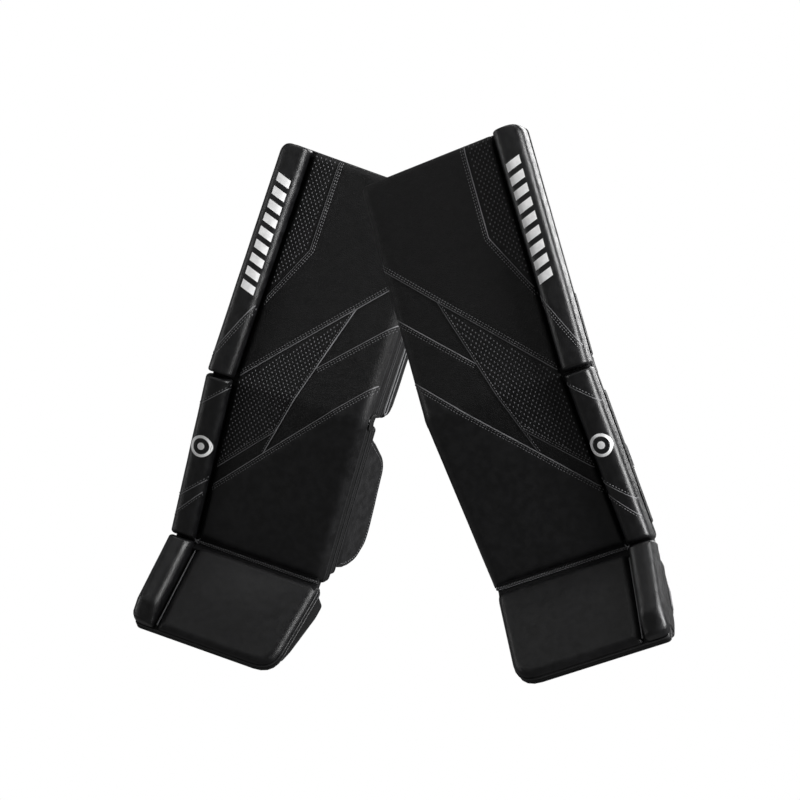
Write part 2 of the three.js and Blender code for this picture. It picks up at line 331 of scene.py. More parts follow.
def fixed(corners, radius, step=8):
    """The same for a piece whose outline doesn't change with depth."""
    return outline(lambda depth: corners, radius, step)


def lofted(rings):
    """A closed solid through rings of equally many points, with a point in the middle of each end."""
    count = len(rings[0])
    points = np.concatenate([*rings, [rings[0].mean(0)], [rings[-1].mean(0)]])
    faces = []
    for start in range(0, count * (len(rings) - 1), count):
        for i in range(count):
            j = (i + 1) % count
            faces.append((start + i, start + i + count, start + j + count, start + j))
    first, last, tail = count * len(rings), count * len(rings) + 1, count * (len(rings) - 1)
    for i in range(count):
        j = (i + 1) % count
        faces.append((first, i, j))
        faces.append((last, tail + j, tail + i))
    return Shape(points, faces)


def puffed(outline_at, front, back, edge, back_edge=None, crown=0, back_crown=0, bulge=0):
    """A padded panel: rounded edges, sides that bulge and faces that crown towards the middle."""
    back_edge = edge if back_edge is None else back_edge
    spread = np.linspace(0.06, 0.97, 8)  # the rings of a cap, as shares of its size
    turn = np.linspace(0, math.pi / 2, 6)
    places = [(front + edge * (1 - math.cos(a)), edge * (1 - math.sin(a))) for a in turn]
    side = back - front - edge - back_edge
    places += [(front + edge + side * t, -bulge * 4 * t * (1 - t)) for t in (0.25, 0.5, 0.75)]
    places += [(back - back_edge * (1 - math.cos(a)), back_edge * (1 - math.sin(a))) for a in turn[::-1]]

    def cap(rim, height):
        middle = rim.mean(0)
        half = np.maximum((rim.max(0) - rim.min(0)) / 2, 1e-6)
        rings = []
        for share in spread:
            points = middle + (rim - middle) * share
            slack = np.clip(1 - ((points - middle) / half) ** 2, 0, 1)
            points[:, 1] += height * slack[:, 0] * slack[:, 2] * (1 - share**6)
            rings.append(points)
        return rings

    rings = [at_depth(outline_at(depth, inset), depth) for depth, inset in places]
    return lofted(cap(rings[0], -crown) + rings + cap(rings[-1], back_crown)[::-1])


def tube(path, radius, closed=False, sides=8):
    """A round tube along points."""
    path = np.array(path, float)
    if closed:
        along = np.roll(path, -1, 0) - np.roll(path, 1, 0)
    else:
        along = np.gradient(path, axis=0)
    along = np.array([unit(a) for a in along])
    across = unit(np.cross(along[0], (0.31, 0.52, 0.8)))
    rings = []
    for point, direction in zip(path, along):
        across = unit(across - direction * (across @ direction))
        third = np.cross(direction, across)
        turns = np.linspace(0, 2 * math.pi, sides, endpoint=False)
        rings.append(point + radius * (np.outer(np.cos(turns), across) + np.outer(np.sin(turns), third)))
    if not closed:
        return lofted(rings)
    # Each closed ring ends where it began, turned by the nearest whole number of sides.
    turned = min(range(sides), key=lambda k: np.linalg.norm(np.roll(rings[-1], k, 0) - rings[0]))
    rings.append(np.roll(rings[0], -turned, 0))
    shape = lofted(rings)
    count = sides * (len(rings) - 1)
    faces = []
    for face in shape.faces:
        if max(face) < count + sides and len(face) == 4:
            faces.append(tuple((i - count + turned) % sides if i >= count else i for i in face))
    return Shape(np.concatenate(rings[:-1]), faces)


def spaced(points, step):
    """Points at equal steps along a line of straight stretches."""
    points = [np.array(p, float) for p in points]
    lengths = [np.linalg.norm(b - a) for a, b in zip(points, points[1:])]
    total = sum(lengths)
    count = max(1, round(total / step))
    ends = np.concatenate([[0], np.cumsum(lengths)])
    places = np.linspace(0, total, count + 1)
    return np.column_stack([np.interp(places, ends, [p[k] for p in points]) for k in range(len(points[0]))])


def beside(points, offset):
    """A line of straight stretches, moved to its left by offset."""
    points = [np.array(p, float) for p in points]
    moved = []
    for i, point in enumerate(points):
        before = unit(point - points[i - 1]) if i else unit(points[1] - point)
        after = unit(points[i + 1] - point) if i + 1 < len(points) else before
        moved.append(point + left_of(before + after) * offset / (1 + before @ after))
    return moved


# ---------- things laid on a surface ----------
ABOVE = 200  # a ray towards the surface starts this far in front of it


def lay(tree, across, up):
    """The point of a surface behind (across, up) and its normal, or None past its edge."""
    hit, normal, _, _ = tree.ray_cast(Vector((across, -ABOVE, up)), Vector((0, 1, 0)))
    if hit is None:
        return None
    normal = np.array(normal)
    return np.array(hit), normal if normal[1] < 0 else -normal


def bead(centre, normal, along, length, width, height, sides=6):
    """A small domed grain, such as a stitch or a perforation's lip."""
    along = unit(along - normal * (along @ normal))
    across = np.cross(normal, along)
    turns = np.linspace(0, 2 * math.pi, sides, endpoint=False)
    rim = np.outer(np.cos(turns), along) * length / 2 + np.outer(np.sin(turns), across) * width / 2
    rings = [centre + rim - normal * 0.3, centre + rim * 0.9 + normal * height * 0.6]
    rings.append(centre + rim * 0.45 + normal * height)
    return lofted(rings[::-1])


def stitches(tree, points, offset=0, pitch=STITCH["pitch"]):
    """A row of stitches on a surface, beside a line or on it."""
    made = []
    marks = spaced(beside(points, offset), pitch)
    for start, end in zip(marks, marks[1:]):
        middle = (start + end) / 2
        found = lay(tree, *middle)
        if found is None:
            continue
        along = np.array([end[0] - start[0], 0, end[1] - start[1]])
        made.append(bead(*found, along, STITCH["length"], STITCH["width"], STITCH["height"]))
    return made


def plate(tree, grid, lifts, sink=0.4):
    """A thin plate laid on a surface. grid holds rows of (across, up) points, and lifts says how far each
    row stands off the surface."""
    top, bottom = [], []
    for row, lift in zip(grid, lifts):
        for across, up in row:
            found = lay(tree, across, up)
            if found is None:
                return None
            top.append(found[0] + found[1] * lift)
            bottom.append(found[0] - found[1] * sink)
    rows, columns = len(grid), len(grid[0])
    count = rows * columns
    faces = []
    for r in range(rows - 1):
        for c in range(columns - 1):
            a = r * columns + c
            quad = (a, a + 1, a + 1 + columns, a + columns)
            faces.append(quad)
            faces.append(tuple(i + count for i in quad[::-1]))
    rim = list(range(columns)) + [r * columns + columns - 1 for r in range(1, rows)]
    rim += [count - 1 - c for c in range(1, columns)] + [r * columns for r in range(rows - 2, 0, -1)]
    for a, b in zip(rim, rim[1:] + rim[:1]):
        faces.append((b, a, a + count, b + count))
    return Shape(top + bottom, faces)


def raw_edge(tree, points):
    """The thin raised edge of a leather layer, along a line on a surface."""
    marks = spaced(points, 3)
    side = np.gradient(marks, axis=0)
    side = np.array([unit(left_of(s)) for s in side]) * EDGE_LINE["width"] / 2
    on = [all(lay(tree, *place) is not None for place in (m - s, m, m + s)) for m, s in zip(marks, side)]
    marks, side = marks[on], side[on]
    if len(marks) < 2:
        return None
    height = EDGE_LINE["height"]
    return plate(tree, [marks + side, marks, marks - side], [height * 0.5, height, height * 0.5])


def bar_column(tree, bars):
    """A column of plain slanted bars printed on a surface."""
    made = []
    for number in range(bars["count"]):
        middle = bars["first"] + number * bars["pitch"]
        rows = []
        for v in np.linspace(-0.5, 0.5, 3):
            row = []
            for u in np.linspace(-0.5, 0.5, 7):
                up = middle + v * bars["width"] + u * bars["length"] * bars["slant"]
                row.append((bars["across"] + u * bars["length"], up))
            rows.append(row)
        made.append(plate(tree, rows, [PRINT["lift"]] * len(rows), PRINT["sink"]))
    return joined(made)


def disc_ring(tree, centre, inner, outer):
    """A plain printed ring, or a dot if inner is nearly nothing."""
    turns = np.linspace(0, 2 * math.pi, 49)
    rows = []
    for radius in (outer, inner):
        rows.append([(centre[0] + radius * math.cos(t), centre[1] + radius * math.sin(t)) for t in turns])
    return plate(tree, rows, [PRINT["lift"]] * len(rows), PRINT["sink"])


# ======================================== placing ========================================
class Section:
    """The placing of one stiff section."""

    def __init__(self, origin, across, back, up):
        self.origin = np.array(origin) / MM
        self.axes = np.array([across, back, up])

    def __call__(self, points):
        return (self.origin + np.asarray(points, float) @ self.axes) * MM

    def local(self, node):
        """A CAD node's points in this section."""
        world = np.array([v.co for v in frame["nodes"][node].data.vertices], float)
        return (world / MM - self.origin) @ self.axes.T

    def extent(self, node):
        """Lowest and highest corner of a CAD node in this section."""
        points = self.local(node)
        return points.min(0), points.max(0)

    def side_line(self, node, sign):
        """The straight side of a CAD panel, as a function of height: its left side for -1."""
        points = self.local(node)
        middle = points[:, 2].mean()
        ends = []
        for half in (points[points[:, 2] < middle], points[points[:, 2] > middle]):
            ends.append(half[(half[:, 0] * sign).argmax()])
        slope = (ends[1][0] - ends[0][0]) / (ends[1][2] - ends[0][2])
        return lambda up: ends[0][0] + (np.asarray(up, float) - ends[0][2]) * slope

    def sheet(self, place, across, back):
        """A flat sheet in this section that stands on edge, with directions of its own."""
        axes = np.array([across, back, (0, 0, 1)], float)
        return lambda points: self(np.array(place, float) + np.asarray(points, float) @ axes)


class Pad:
    """One pad: its sections, its looks, and the names of its bodies and nodes."""

    def __init__(self, side, looks):
        self.side = side
        self.looks = looks
        joints = {joint["name"]: joint for joint in frame["joints"]}
        knee = np.array(joints[f"{side}_thigh_flex"]["pos_m"])
        ankle = np.array(joints[f"{side}_boot_flex"]["pos_m"])
        hinge = unit(np.array(joints[f"{side}_thigh_flex"]["axis"]))
        out = hinge if side == "left" else -hinge
        up = unit(knee - ankle)

        def section(origin, fold):
            axis = unit(np.array(joints[f"{side}_{fold}"]["axis"]))
            own_up = axis if axis @ up > 0 else -axis
            return Section(origin, out, np.cross(own_up, hinge), own_up)

        self.shin = section(ankle, "outer_calf_wing_fold")
        self.thigh = section(knee, "outer_knee_wing_fold")
        self.boot = section(ankle, "outer_boot_flap_fold")
        self.shin_length = np.linalg.norm(knee - ankle) / MM
        self.thigh_height = self.thigh.extent(f"{side}_thigh_face")[1][2]
        self.groove_at_knee = float(self.thigh.side_line(f"{side}_thigh_face", 1)(0))
        start = self.shin([(0, 0, self.shin_length - KNEE_BEND)])[0]
        self.knee_bend = ("shin", "thigh", start, self.thigh([(0, 0, KNEE_BEND)])[0])
        start = self.shin([(0, 0, FOLD_REACH)])[0]
        self.ankle_bend = ("shin", "boot", start, self.boot([(0, 0, -FOLD_REACH)])[0])

    def over_knee(self, points):
        """The placing of what lies on the face and turns over the knee fold."""
        points = np.asarray(points, float)
        share = np.clip((points[:, 2] - self.shin_length + KNEE_ROUND) / (2 * KNEE_ROUND), 0, 1)
        share = (share * share * (3 - 2 * share))[:, None]
        return (1 - share) * self.shin(points) + share * self.thigh(points - (0, 0, self.shin_length))

    def over_ankle(self, points):
        """The placing of what lies in the ankle fold, with heights from the fold."""
        points = np.asarray(points, float)
        share = np.clip((points[:, 2] + FOLD_REACH) / (2 * FOLD_REACH), 0, 1)[:, None]
        return (1 - share) * self.boot(points) + share * self.shin(points)

    def add(
        self, name, shape, place, body, look,
        replaces=(), smooth=60, subdivide=False, bend=None, fill=None,
    ):
        """Makes a shape a piece of this pad. body is a body's name without its side. It is None if the piece
        bends, and then bend gives the two bodies and the two points that it bends between; here such a piece
        is only left unparented, in place. replaces gives CAD nodes and smooth the angle of the sharpest
        smooth edge. fill, the softness of the padding, is not used."""
        slot, *materials = self.looks[look]
        points = place(shape.points)
        faces = shape.faces if volume(points, shape.faces) > 0 else [f[::-1] for f in shape.faces]
        mesh = bpy.data.meshes.new(f"{self.side}_{name}")
        mesh.from_pydata([tuple(p) for p in points], [], faces)
        for material in materials:
            mesh.materials.append(material)
        if shape.patches is not None:
            mesh.polygons.foreach_set("material_index", shape.patches)
        mesh.shade_smooth()
        mesh.set_sharp_from_angle(angle=math.radians(smooth))
        piece = linked(f"{self.side}_{name}", mesh)
        if subdivide:
            modifier = piece.modifiers.new("Subdivision", "SUBSURF")
            modifier.levels = modifier.render_levels = 1
        if bend:
            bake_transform(piece)
        else:
            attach(piece, f"{self.side}_{body}")
        if replaces:
            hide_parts(*[f"{self.side}_{node}" for node in replaces])


def linked(name, data):
    """A new object in the scene."""
    made = bpy.data.objects.new(name, data)
    bpy.context.scene.collection.objects.link(made)
    return made


def volume(points, faces):
    """The signed volume inside a closed surface: negative if its faces turn inwards."""
    total = 0.0
    for face in faces:
        for j in range(1, len(face) - 1):
            a, b, c = points[face[0]], points[face[j]], points[face[j + 1]]
            total += (
                a[0] * (b[1] * c[2] - b[2] * c[1])
                - a[1] * (b[0] * c[2] - b[2] * c[0])
                + a[2] * (b[0] * c[1] - b[1] * c[0])
            )
    return total


# ======================================== materials ========================================
def new_material(name, colour, roughness, specular):
    material = bpy.data.materials.new(name)
    material.use_nodes = True
    shader = material.node_tree.nodes["Principled BSDF"]
    shader.inputs["Base Color"].default_value = (*colour, 1)
    shader.inputs["Roughness"].default_value = roughness
    shader.inputs["Specular IOR Level"].default_value = specular
    return material, material.node_tree, shader


def connect(tree, made, **links):
    """Sets a node's inputs by name, with _ for a space: a socket is linked and anything else is set."""
    for key, value in links.items():
        socket = made.inputs[int(key[1:])] if key[1:].isdigit() else made.inputs[key.replace("_", " ")]
        if isinstance(value, bpy.types.NodeSocket):
            tree.links.new(value, socket)
        else:
            socket.default_value = value
    return made


def place_nodes(tree):
    return tree.nodes.new("ShaderNodeTexCoord").outputs["Object"]


def noise_nodes(tree, vector, size, detail=3, roughness=0.5):
    """Noise whose features are about size millimetres."""
    made = tree.nodes.new("ShaderNodeTexNoise")
    connect(tree, made, Vector=vector, Scale=1 / (size * MM), Detail=detail, Roughness=roughness)
    return made.outputs["Fac"]


def cell_nodes(tree, vector, size, feature="F1"):
    """Cells about size millimetres across: the distance to the middle or the edge of each."""
    made = tree.nodes.new("ShaderNodeTexVoronoi")
    made.feature = feature
    connect(tree, made, Vector=vector, Scale=1 / (size * MM))
    return made.outputs["Distance"]


def spread_nodes(tree, value, low, high, start=0.3, end=0.7):
    """Spreads a value that runs from start to end over low to high."""
    made = tree.nodes.new("ShaderNodeMapRange")
    made.interpolation_type = "SMOOTHSTEP"
    connect(tree, made, Value=value, From_Min=start, From_Max=end, To_Min=low, To_Max=high)
    return made.outputs["Result"]


def bump_nodes(tree, height, depth, normal=None, strength=1.0):
    made = tree.nodes.new("ShaderNodeBump")
    connect(tree, made, Height=height, Distance=depth * MM, Strength=strength)
    if normal is not None:
        tree.links.new(normal, made.inputs["Normal"])
    return made.outputs["Normal"]


def tint_nodes(tree, share, dark, light):
    made = tree.nodes.new("ShaderNodeMix")
    made.data_type = "RGBA"
    connect(tree, made, _0=share, _6=(*dark, 1), _7=(*light, 1))
    return made.outputs[2]


def leather(name, colour, roughness, grain, grain_depth, ripple=0.35, specular=0.35, painted_grain_highlights=False):
    """Synthetic leather: pebbled grain, finer pores, slow ripples and a gloss that varies. Leather with
    painted grain highlights is much lighter on top of each grain: a painted highlight."""
    material, tree, shader = new_material(name, colour, roughness, specular)
    place = place_nodes(tree)
    slow = noise_nodes(tree, place, 45, 2)
    fine = noise_nodes(tree, place, 0.7, 3)
    cells = cell_nodes(tree, place, grain, "DISTANCE_TO_EDGE")
    patchy = noise_nodes(tree, place, 12, 4)
    dark = [c * 0.75 for c in colour]
    # Painted highlight: for the grained leather the colour is four times lighter on top of each grain.
    light = [c * (4 if painted_grain_highlights else 1.35) for c in colour]
    share = cells if painted_grain_highlights else patchy
    connect(tree, shader, Base_Color=tint_nodes(tree, spread_nodes(tree, share, 0, 1), dark, light))
    connect(tree, shader, Roughness=spread_nodes(tree, patchy, roughness - 0.05, roughness + 0.07))
    normal = bump_nodes(tree, slow, ripple * 4)
    normal = bump_nodes(tree, spread_nodes(tree, cells, 0, 1, 0, 0.25), grain_depth, normal)
    normal = bump_nodes(tree, fine, 0.06, normal)
    connect(tree, shader, Normal=normal)
    return material


def math_nodes(tree, operation, *values, kind="Math"):
    made = tree.nodes.new(f"ShaderNode{kind}")
    made.operation = operation
    connect(tree, made, **{f"_{number}": value for number, value in enumerate(values)})
    return made.outputs["Value"]


def woven(name, colour, roughness, pitch=1.4, depth=0.25, specular=0.25, sheen=0.15):
    """A plain weave of thick yarns, two directions over and under."""
    material, tree, shader = new_material(name, colour, roughness, specular)
    shader.inputs["Sheen Weight"].default_value = sheen
    shader.inputs["Sheen Roughness"].default_value = 0.5
    place = place_nodes(tree)
    waves = []
    for direction in ((1, 0.35, 1), (1, -0.35, -1)):
        along = math_nodes(tree, "DOT_PRODUCT", place, direction, kind="VectorMath")
        turns = math_nodes(tree, "MULTIPLY", along, 2 * math.pi / (pitch * 1.45 * MM))
        waves.append(math_nodes(tree, "SINE", turns))
    weave = spread_nodes(tree, math_nodes(tree, "MULTIPLY", *waves), 0, 1, -0.6, 0.6)
    fuzz = noise_nodes(tree, place, 0.8, 3)
    patchy = noise_nodes(tree, place, 20, 4)
    dark = [c * 0.6 for c in colour]
    light = [c * 1.3 for c in colour]
    connect(tree, shader, Base_Color=tint_nodes(tree, weave, dark, light))
    connect(tree, shader, Roughness=spread_nodes(tree, patchy, roughness - 0.06, roughness + 0.06))
    normal = bump_nodes(tree, noise_nodes(tree, place, 30, 2), 0.8)
    normal = bump_nodes(tree, weave, depth, normal)
    connect(tree, shader, Normal=bump_nodes(tree, fuzz, 0.08, normal))
    return material


def plain(name, colour, roughness, specular=0.35, depth=0.05, grain=0.9):
    """Moulded plastic, rubber, thread or print: a fine tooth and a colour that varies a little."""
    material, tree, shader = new_material(name, colour, roughness, specular)
    place = place_nodes(tree)
    fine = noise_nodes(tree, place, grain, 3)
    patchy = noise_nodes(tree, place, 9, 4)
    dark = [c * 0.86 for c in colour]
    light = [min(c * 1.1, 0.95) for c in colour]
    connect(tree, shader, Base_Color=tint_nodes(tree, spread_nodes(tree, patchy, 0, 1), dark, light))
    connect(tree, shader, Roughness=spread_nodes(tree, patchy, roughness - 0.05, roughness + 0.05))
    connect(tree, shader, Normal=bump_nodes(tree, fine, depth))
    return material


def make_materials():
    """Each look: the record's slot and the materials of that piece."""
    # The grained leather's lighter grain tops are a painted highlight.
    grained = leather("grained_leather", (0.003, 0.003, 0.0033), 0.5, grain=2.8, grain_depth=0.3,
                      specular=0.26, painted_grain_highlights=True)
    smooth = leather("smooth_leather", (0.006, 0.006, 0.0065), 0.38, grain=1.2, grain_depth=0.05)
    roll = leather("roll_leather", (0.0045, 0.0045, 0.005), 0.33, grain=1.2, grain_depth=0.05, ripple=0.5,
                   specular=0.45)
    side = leather("side_leather", (0.005, 0.005, 0.0053), 0.5, grain=1.4, grain_depth=0.08,
                   specular=0.22)
    wing = leather("wing_leather", (0.009, 0.009, 0.0095), 0.46, grain=1.4, grain_depth=0.08, specular=0.28)
    lining = woven("lining_knit", (0.016, 0.0165, 0.018), 0.85, pitch=1.8, depth=0.3, sheen=0.3)
    nylon = woven("landing_nylon", (0.005, 0.005, 0.0055), 0.7, pitch=1.3, depth=0.25, specular=0.12,
                  sheen=0.04)
    webbing = woven("webbing", (0.011, 0.011, 0.0115), 0.7, pitch=2.2, depth=0.4)
    rubber = plain("tab_rubber", (0.016, 0.016, 0.017), 0.6)
    plastic = plain("toe_plastic", (0.014, 0.014, 0.015), 0.45)
    thread = plain("edge_line", (0.13, 0.13, 0.135), 0.5, depth=0.1)
    # Painted highlight: the perforation dots are light grey, standing for the highlight on each raised dot.
    dots = plain("perforation_painted_highlight", (0.085, 0.085, 0.09), 0.4, depth=0.05)
    seam = plain("dark_piping", (0.02, 0.02, 0.021), 0.35)
    white = plain("white_print", (0.95, 0.95, 0.95), 0.45)
    return {
        "face": ("smooth_leather", smooth, grained),
        "boot": ("smooth_leather", smooth),
        "roll": ("roll_leather", roll),
        "side": ("side_leather", side),
        "wing": ("wing_leather", wing),
        "lining": ("lining", lining),
        "nylon": ("landing_nylon", nylon),
        "webbing": ("webbing", webbing),
        "rubber": ("tab_rubber", rubber),
        "plastic": ("toe_plastic", plastic),
        "thread": ("edge_line", thread),
        "dots": ("edge_line", dots),
        "piping": ("side_leather", seam),
        "white": ("white_print", white),
    }


# ======================================== simulation ========================================
SWOLLEN = {}  # each swollen shape by name, as both pads use it


def inflated(name, shape):
    """Swells a padded shape as cloth over its filling."""
    if name in SWOLLEN:
        return Shape(*SWOLLEN[name])
    mesh = bpy.data.meshes.new("swelling")
    mesh.from_pydata([tuple(p * MM) for p in shape.points], [], shape.faces)
    mesh.validate()
    piece = linked("swelling", mesh)
    remesh = piece.modifiers.new("Remesh", "REMESH")
    remesh.mode = "VOXEL"
    remesh.voxel_size = SWELLING["voxel"] * MM
    start = evaluated(piece)
    piece.modifiers.remove(remesh)
    piece.data = start
    cloth = piece.modifiers.new("Cloth", "CLOTH")
    cloth.settings.use_pressure = True
    cloth.settings.uniform_pressure_force = SWELLING["pressure"]
    cloth.settings.effector_weights.gravity = 0
    cloth.settings.tension_stiffness = SWELLING["stiffness"]
    cloth.settings.compression_stiffness = SWELLING["stiffness"]
    cloth.settings.bending_stiffness = SWELLING["bending"]
    cloth.point_cache.frame_start = 1
    cloth.point_cache.frame_end = SWELLING["frames"]
    for number in range(1, SWELLING["frames"] + 1):
        bpy.context.scene.frame_set(number)
    end = evaluated(piece)
    before = np.array([v.co for v in start.vertices]) / MM
    after = np.array([v.co for v in end.vertices]) / MM
    moves = after - before
    lengths = np.maximum(np.linalg.norm(moves, axis=1)[:, None], 1e-9)
    points = before + moves * np.minimum(1, SWELLING["cap"] / lengths)
    faces = [tuple(p.vertices) for p in end.polygons]
    bpy.data.objects.remove(piece)
    bpy.context.scene.frame_set(1)
    SWOLLEN[name] = (points.copy(), faces)
    return Shape(points, faces)


def evaluated(piece):
    graph = bpy.context.evaluated_depsgraph_get()
    return bpy.data.meshes.new_from_object(piece.evaluated_get(graph))


def sewn(shape, lines, depth, width, sign):
    """Presses sewn channels into a shape's front, or its back if sign is -1. A channel is a list of
    points (across, up)."""
    points = shape.points
    middle = points[:, 1].mean()
    facing = (middle - points[:, 1]) * sign > 0
    push = np.zeros(len(points))
    for line in lines:
        near = np.full(len(points), 1e9)
        for start, end in zip(line, line[1:]):
            near = np.minimum(near, away(points[:, [0, 2]], start, end))
        push = np.maximum(push, depth * np.exp(-((near / width) ** 2)))
    points[:, 1] += push * facing * sign
    return shape


def away(points, start, end):
    """How far points are from a straight stretch."""
    start, end = np.array(start, float), np.array(end, float)
    along = end - start
    share = np.clip((points - start) @ along / (along @ along), 0, 1)
    return np.linalg.norm(points - start - share[:, None] * along, axis=1)


def rippled(shape, kind, name=""):
    """Slow unevenness along a leather surface, the same at each run. A name moves the start of the noise by
    its length, so that pieces of one kind differ."""
    amount, size, seed = RIPPLES[kind]
    seed += len(name)
    for point in shape.points:
        place = Vector(point) / size + Vector((seed, seed * 0.37, 0))
        point += np.array(noise.noise_vector(place)) * amount
    return shape


# ======================================== the pieces of one pad ========================================
def knee_end(depth):
    """The gap between a section's end and the knee fold, at a depth behind the face."""
    return KNEE_GAP + np.maximum(0, depth) * math.tan(math.radians(KNEE_CUT))


def ankle_end(depth):
    """The gap beside the ankle fold, negative where the section runs on past it."""
    depth = np.asarray(depth, float)
    front = depth * math.tan(math.radians(ANKLE_CUT_FRONT))
    back = depth * math.tan(math.radians(ANKLE_CUT_BACK))
    return ANKLE_GAP - np.where(depth < 0, front, back)


def graded(length, radius, step):
    """Distances from one edge to the other, finer over the rounded edges."""
    edge = radius * (1 - np.cos(np.linspace(0, math.pi / 2, 7)))
    count = max(2, round((length - 2 * radius) / step))
    middle = np.linspace(radius, length - radius, count + 1)[1:-1]
    return np.concatenate([edge, middle, (length - edge)[::-1]])


def round_corner(across, up, radius):
    """Moves points within radius of a square corner so that the corner is round. Both are distances
    from the two edges."""
    a, b = np.clip(1 - across / radius, 0, 1), np.clip(1 - up / radius, 0, 1)
    both = (a > 0) & (b > 0)
    new_a, new_b = a * np.sqrt(1 - b**2 / 2), b * np.sqrt(1 - a**2 / 2)
    return np.where(both, radius * (1 - new_a), across), np.where(both, radius * (1 - new_b), up)


def seam_cuts(rows):
    """Distances from a seam where the face's mesh is cut, so that its relief stays crisp."""
    cuts = [-0.5, 0.5]
    for row in rows:
        cuts += [row - 1.1, row, row + 1.1]
    return sorted(set(cuts))


def seam_relief(points, seam):
    """How far a seam moves the surface back: the layer that lies over stands forward beside its raw
    edge, and each row of stitches pulls it in."""
    push = np.zeros(len(points))
    toward = np.sign(seam["rows"][0])
    for start, end in zip(seam["points"], seam["points"][1:]):
        start, end = np.array(start, float), np.array(end, float)
        along = unit(end - start)
        distance = (points - start) @ left_of(along) * toward
        place = (points - start) @ along
        within = (place > -0.5) & (place < np.linalg.norm(end - start) + 0.5)
        over = SEAM_LIP["height"] * np.exp(-distance / SEAM_LIP["fade"])
        under = SEAM_LIP["dip"] * np.exp(distance / SEAM_LIP["dip_fade"])
        push += np.where(within, np.where(distance > 0, -over, under), 0)
        for row in seam["rows"]:
            push += np.where(within, STITCH_PULL * np.exp(-((distance - abs(row)) ** 2)), 0)
    return push


def face_lines(pad):
    """The face's inner edge and groove and its top, as functions along it."""
    side = pad.side
    knee = pad.shin_length
    lines = {}
    for name, sign in (("inner", -1), ("groove", 1)):
        low = pad.shin.side_line(f"{side}_shin_face", sign)
        high = pad.thigh.side_line(f"{side}_thigh_face", sign)
        lines[name] = lambda up, low=low, high=high: np.where(up < knee, low(up), high(up - knee))
    height = knee + pad.thigh_height
    slope = math.tan(math.radians(TOP_SLANT))
    reach = lines["groove"](height)
    lines["top"] = lambda across: height + (across - reach) * slope
    return lines


def cut_along(grid, seam):
    """Cuts a flat grid along a seam, and beside each of its rows of stitches."""
    toward = np.sign(seam["rows"][0])
    margin = 20
    for start, end in zip(seam["points"], seam["points"][1:]):
        start, end = np.array(start, float), np.array(end, float)
        length = np.linalg.norm(end - start)
        along = unit(end - start)
        left = left_of(along) * toward
        for cut in seam_cuts([abs(row) for row in seam["rows"]]):
            near = []
            for face in grid.faces:
                centre = np.array(face.calc_center_median()[:2]) - start
                if abs(centre @ left) < margin + 2 and -margin < centre @ along < length + margin:
                    near.append(face)
            edges = {edge for face in near for edge in face.edges}
            corners = {corner for face in near for corner in face.verts}
            place = start + left * cut
            bmesh.ops.bisect_plane(
                grid, geom=[*corners, *edges, *near], dist=0.02, plane_co=(*place, 0), plane_no=(*left, 0),
            )


def face_shape(pad):
    """The face cover: a grid cut along the seams, then pushed into relief and closed behind."""
    lines = face_lines(pad)
    width = float(lines["groove"](0.0) - lines["inner"](0.0))
    height = float(lines["top"](0.0))
    across_steps = graded(width, FACE_EDGE, FACE_STEP) / width
    up_steps = graded(height, FACE_EDGE, FACE_STEP) / height
    grid = bmesh.new()
    rows = []
    for v in up_steps:
        row = []
        for u in across_steps:
            up = ANKLE_GAP + v * (height - ANKLE_GAP)
            left, right = float(lines["inner"](up)), float(lines["groove"](up)) - CHANNEL
            across = left + u * (right - left)
            up = ANKLE_GAP + v * (float(lines["top"](across)) - ANKLE_GAP)
            row.append(grid.verts.new((across, up, 0)))
        rows.append(row)
    for low, high in zip(rows, rows[1:]):
        for a, b, c, d in zip(low, low[1:], high[1:], high):
            grid.faces.new((a, b, c, d))
    for seam in SEAMS.values():
        cut_along(grid, seam)
    grid.verts.index_update()
    flat = np.array([v.co[:2] for v in grid.verts])
    faces = [tuple(v.index for v in face.verts) for face in grid.faces]
    patches = [int(is_grained(*face.calc_center_median()[:2])) for face in grid.faces]
    border = border_of(grid)
    grid.free()
    points = relief_of_face(flat, lines)
    return closed_behind(points, faces, patches, border, pad)


def is_grained(across, up):
    """The leather above the lower seam has the coarser grain."""
    (x0, y0), (x1, y1), (x2, y2) = SEAMS["lower"]["points"]
    seam = np.interp(across, [x0, x1, x2], [y0, y1, y2])
    return up > seam


def border_of(grid):
    """The vertex numbers round the edge of a flat grid, in order."""
    following = {}
    for edge in grid.edges:
        if len(edge.link_faces) == 1:
            loop = edge.link_loops[0]
            following[loop.vert.index] = loop.link_loop_next.vert.index
    start = next(iter(following))
    ring = [start]
    while following[ring[-1]] != start:
        ring.append(following[ring[-1]])
    return ring


def relief_of_face(flat, lines):
    """The face's points, with its rounded edges, crown and seams."""
    across, up = flat[:, 0], flat[:, 1]
    inner, groove = lines["inner"](up), lines["groove"](up) - CHANNEL
    top = lines["top"](across)
    from_inner, from_groove = across - inner, groove - across
    from_top, from_ankle = top - up, up - ANKLE_GAP
    depth = np.sqrt(
        fall(from_inner, FACE_EDGE) ** 2
        + fall(from_groove, FACE_GROOVE_EDGE) ** 2
        + fall(from_top, FACE_TOP_EDGE) ** 2
        + fall(from_ankle, FACE_EDGE) ** 2
    )
    depth = np.minimum(depth, FACE_FALL)
    middle = np.clip(np.minimum(from_inner, from_groove) / (0.5 * (groove - inner)), 0, 1)
    ends = np.clip(np.minimum(from_top, from_ankle) / FACE_CROWN_END, 0, 1)
    depth -= FACE_CROWN * np.sin(middle * math.pi / 2) * np.sin(ends * math.pi / 2)
    fade = np.clip(np.minimum.reduce([from_inner, from_groove, from_top, from_ankle]) / 6, 0, 1)
    for seam in SEAMS.values():
        depth += seam_relief(flat, seam) * fade
    sides = ((inner, from_inner, 1), (groove, from_groove, -1))
    for (edge, from_edge, facing), radius in zip(sides, FACE_CORNERS):
        new_edge, new_top = round_corner(from_edge, from_top, radius)
        across = np.where(new_edge != from_edge, edge + facing * new_edge, across)
        up = np.where(new_top != from_top, top - new_top, up)
    return np.column_stack([across, depth, up])


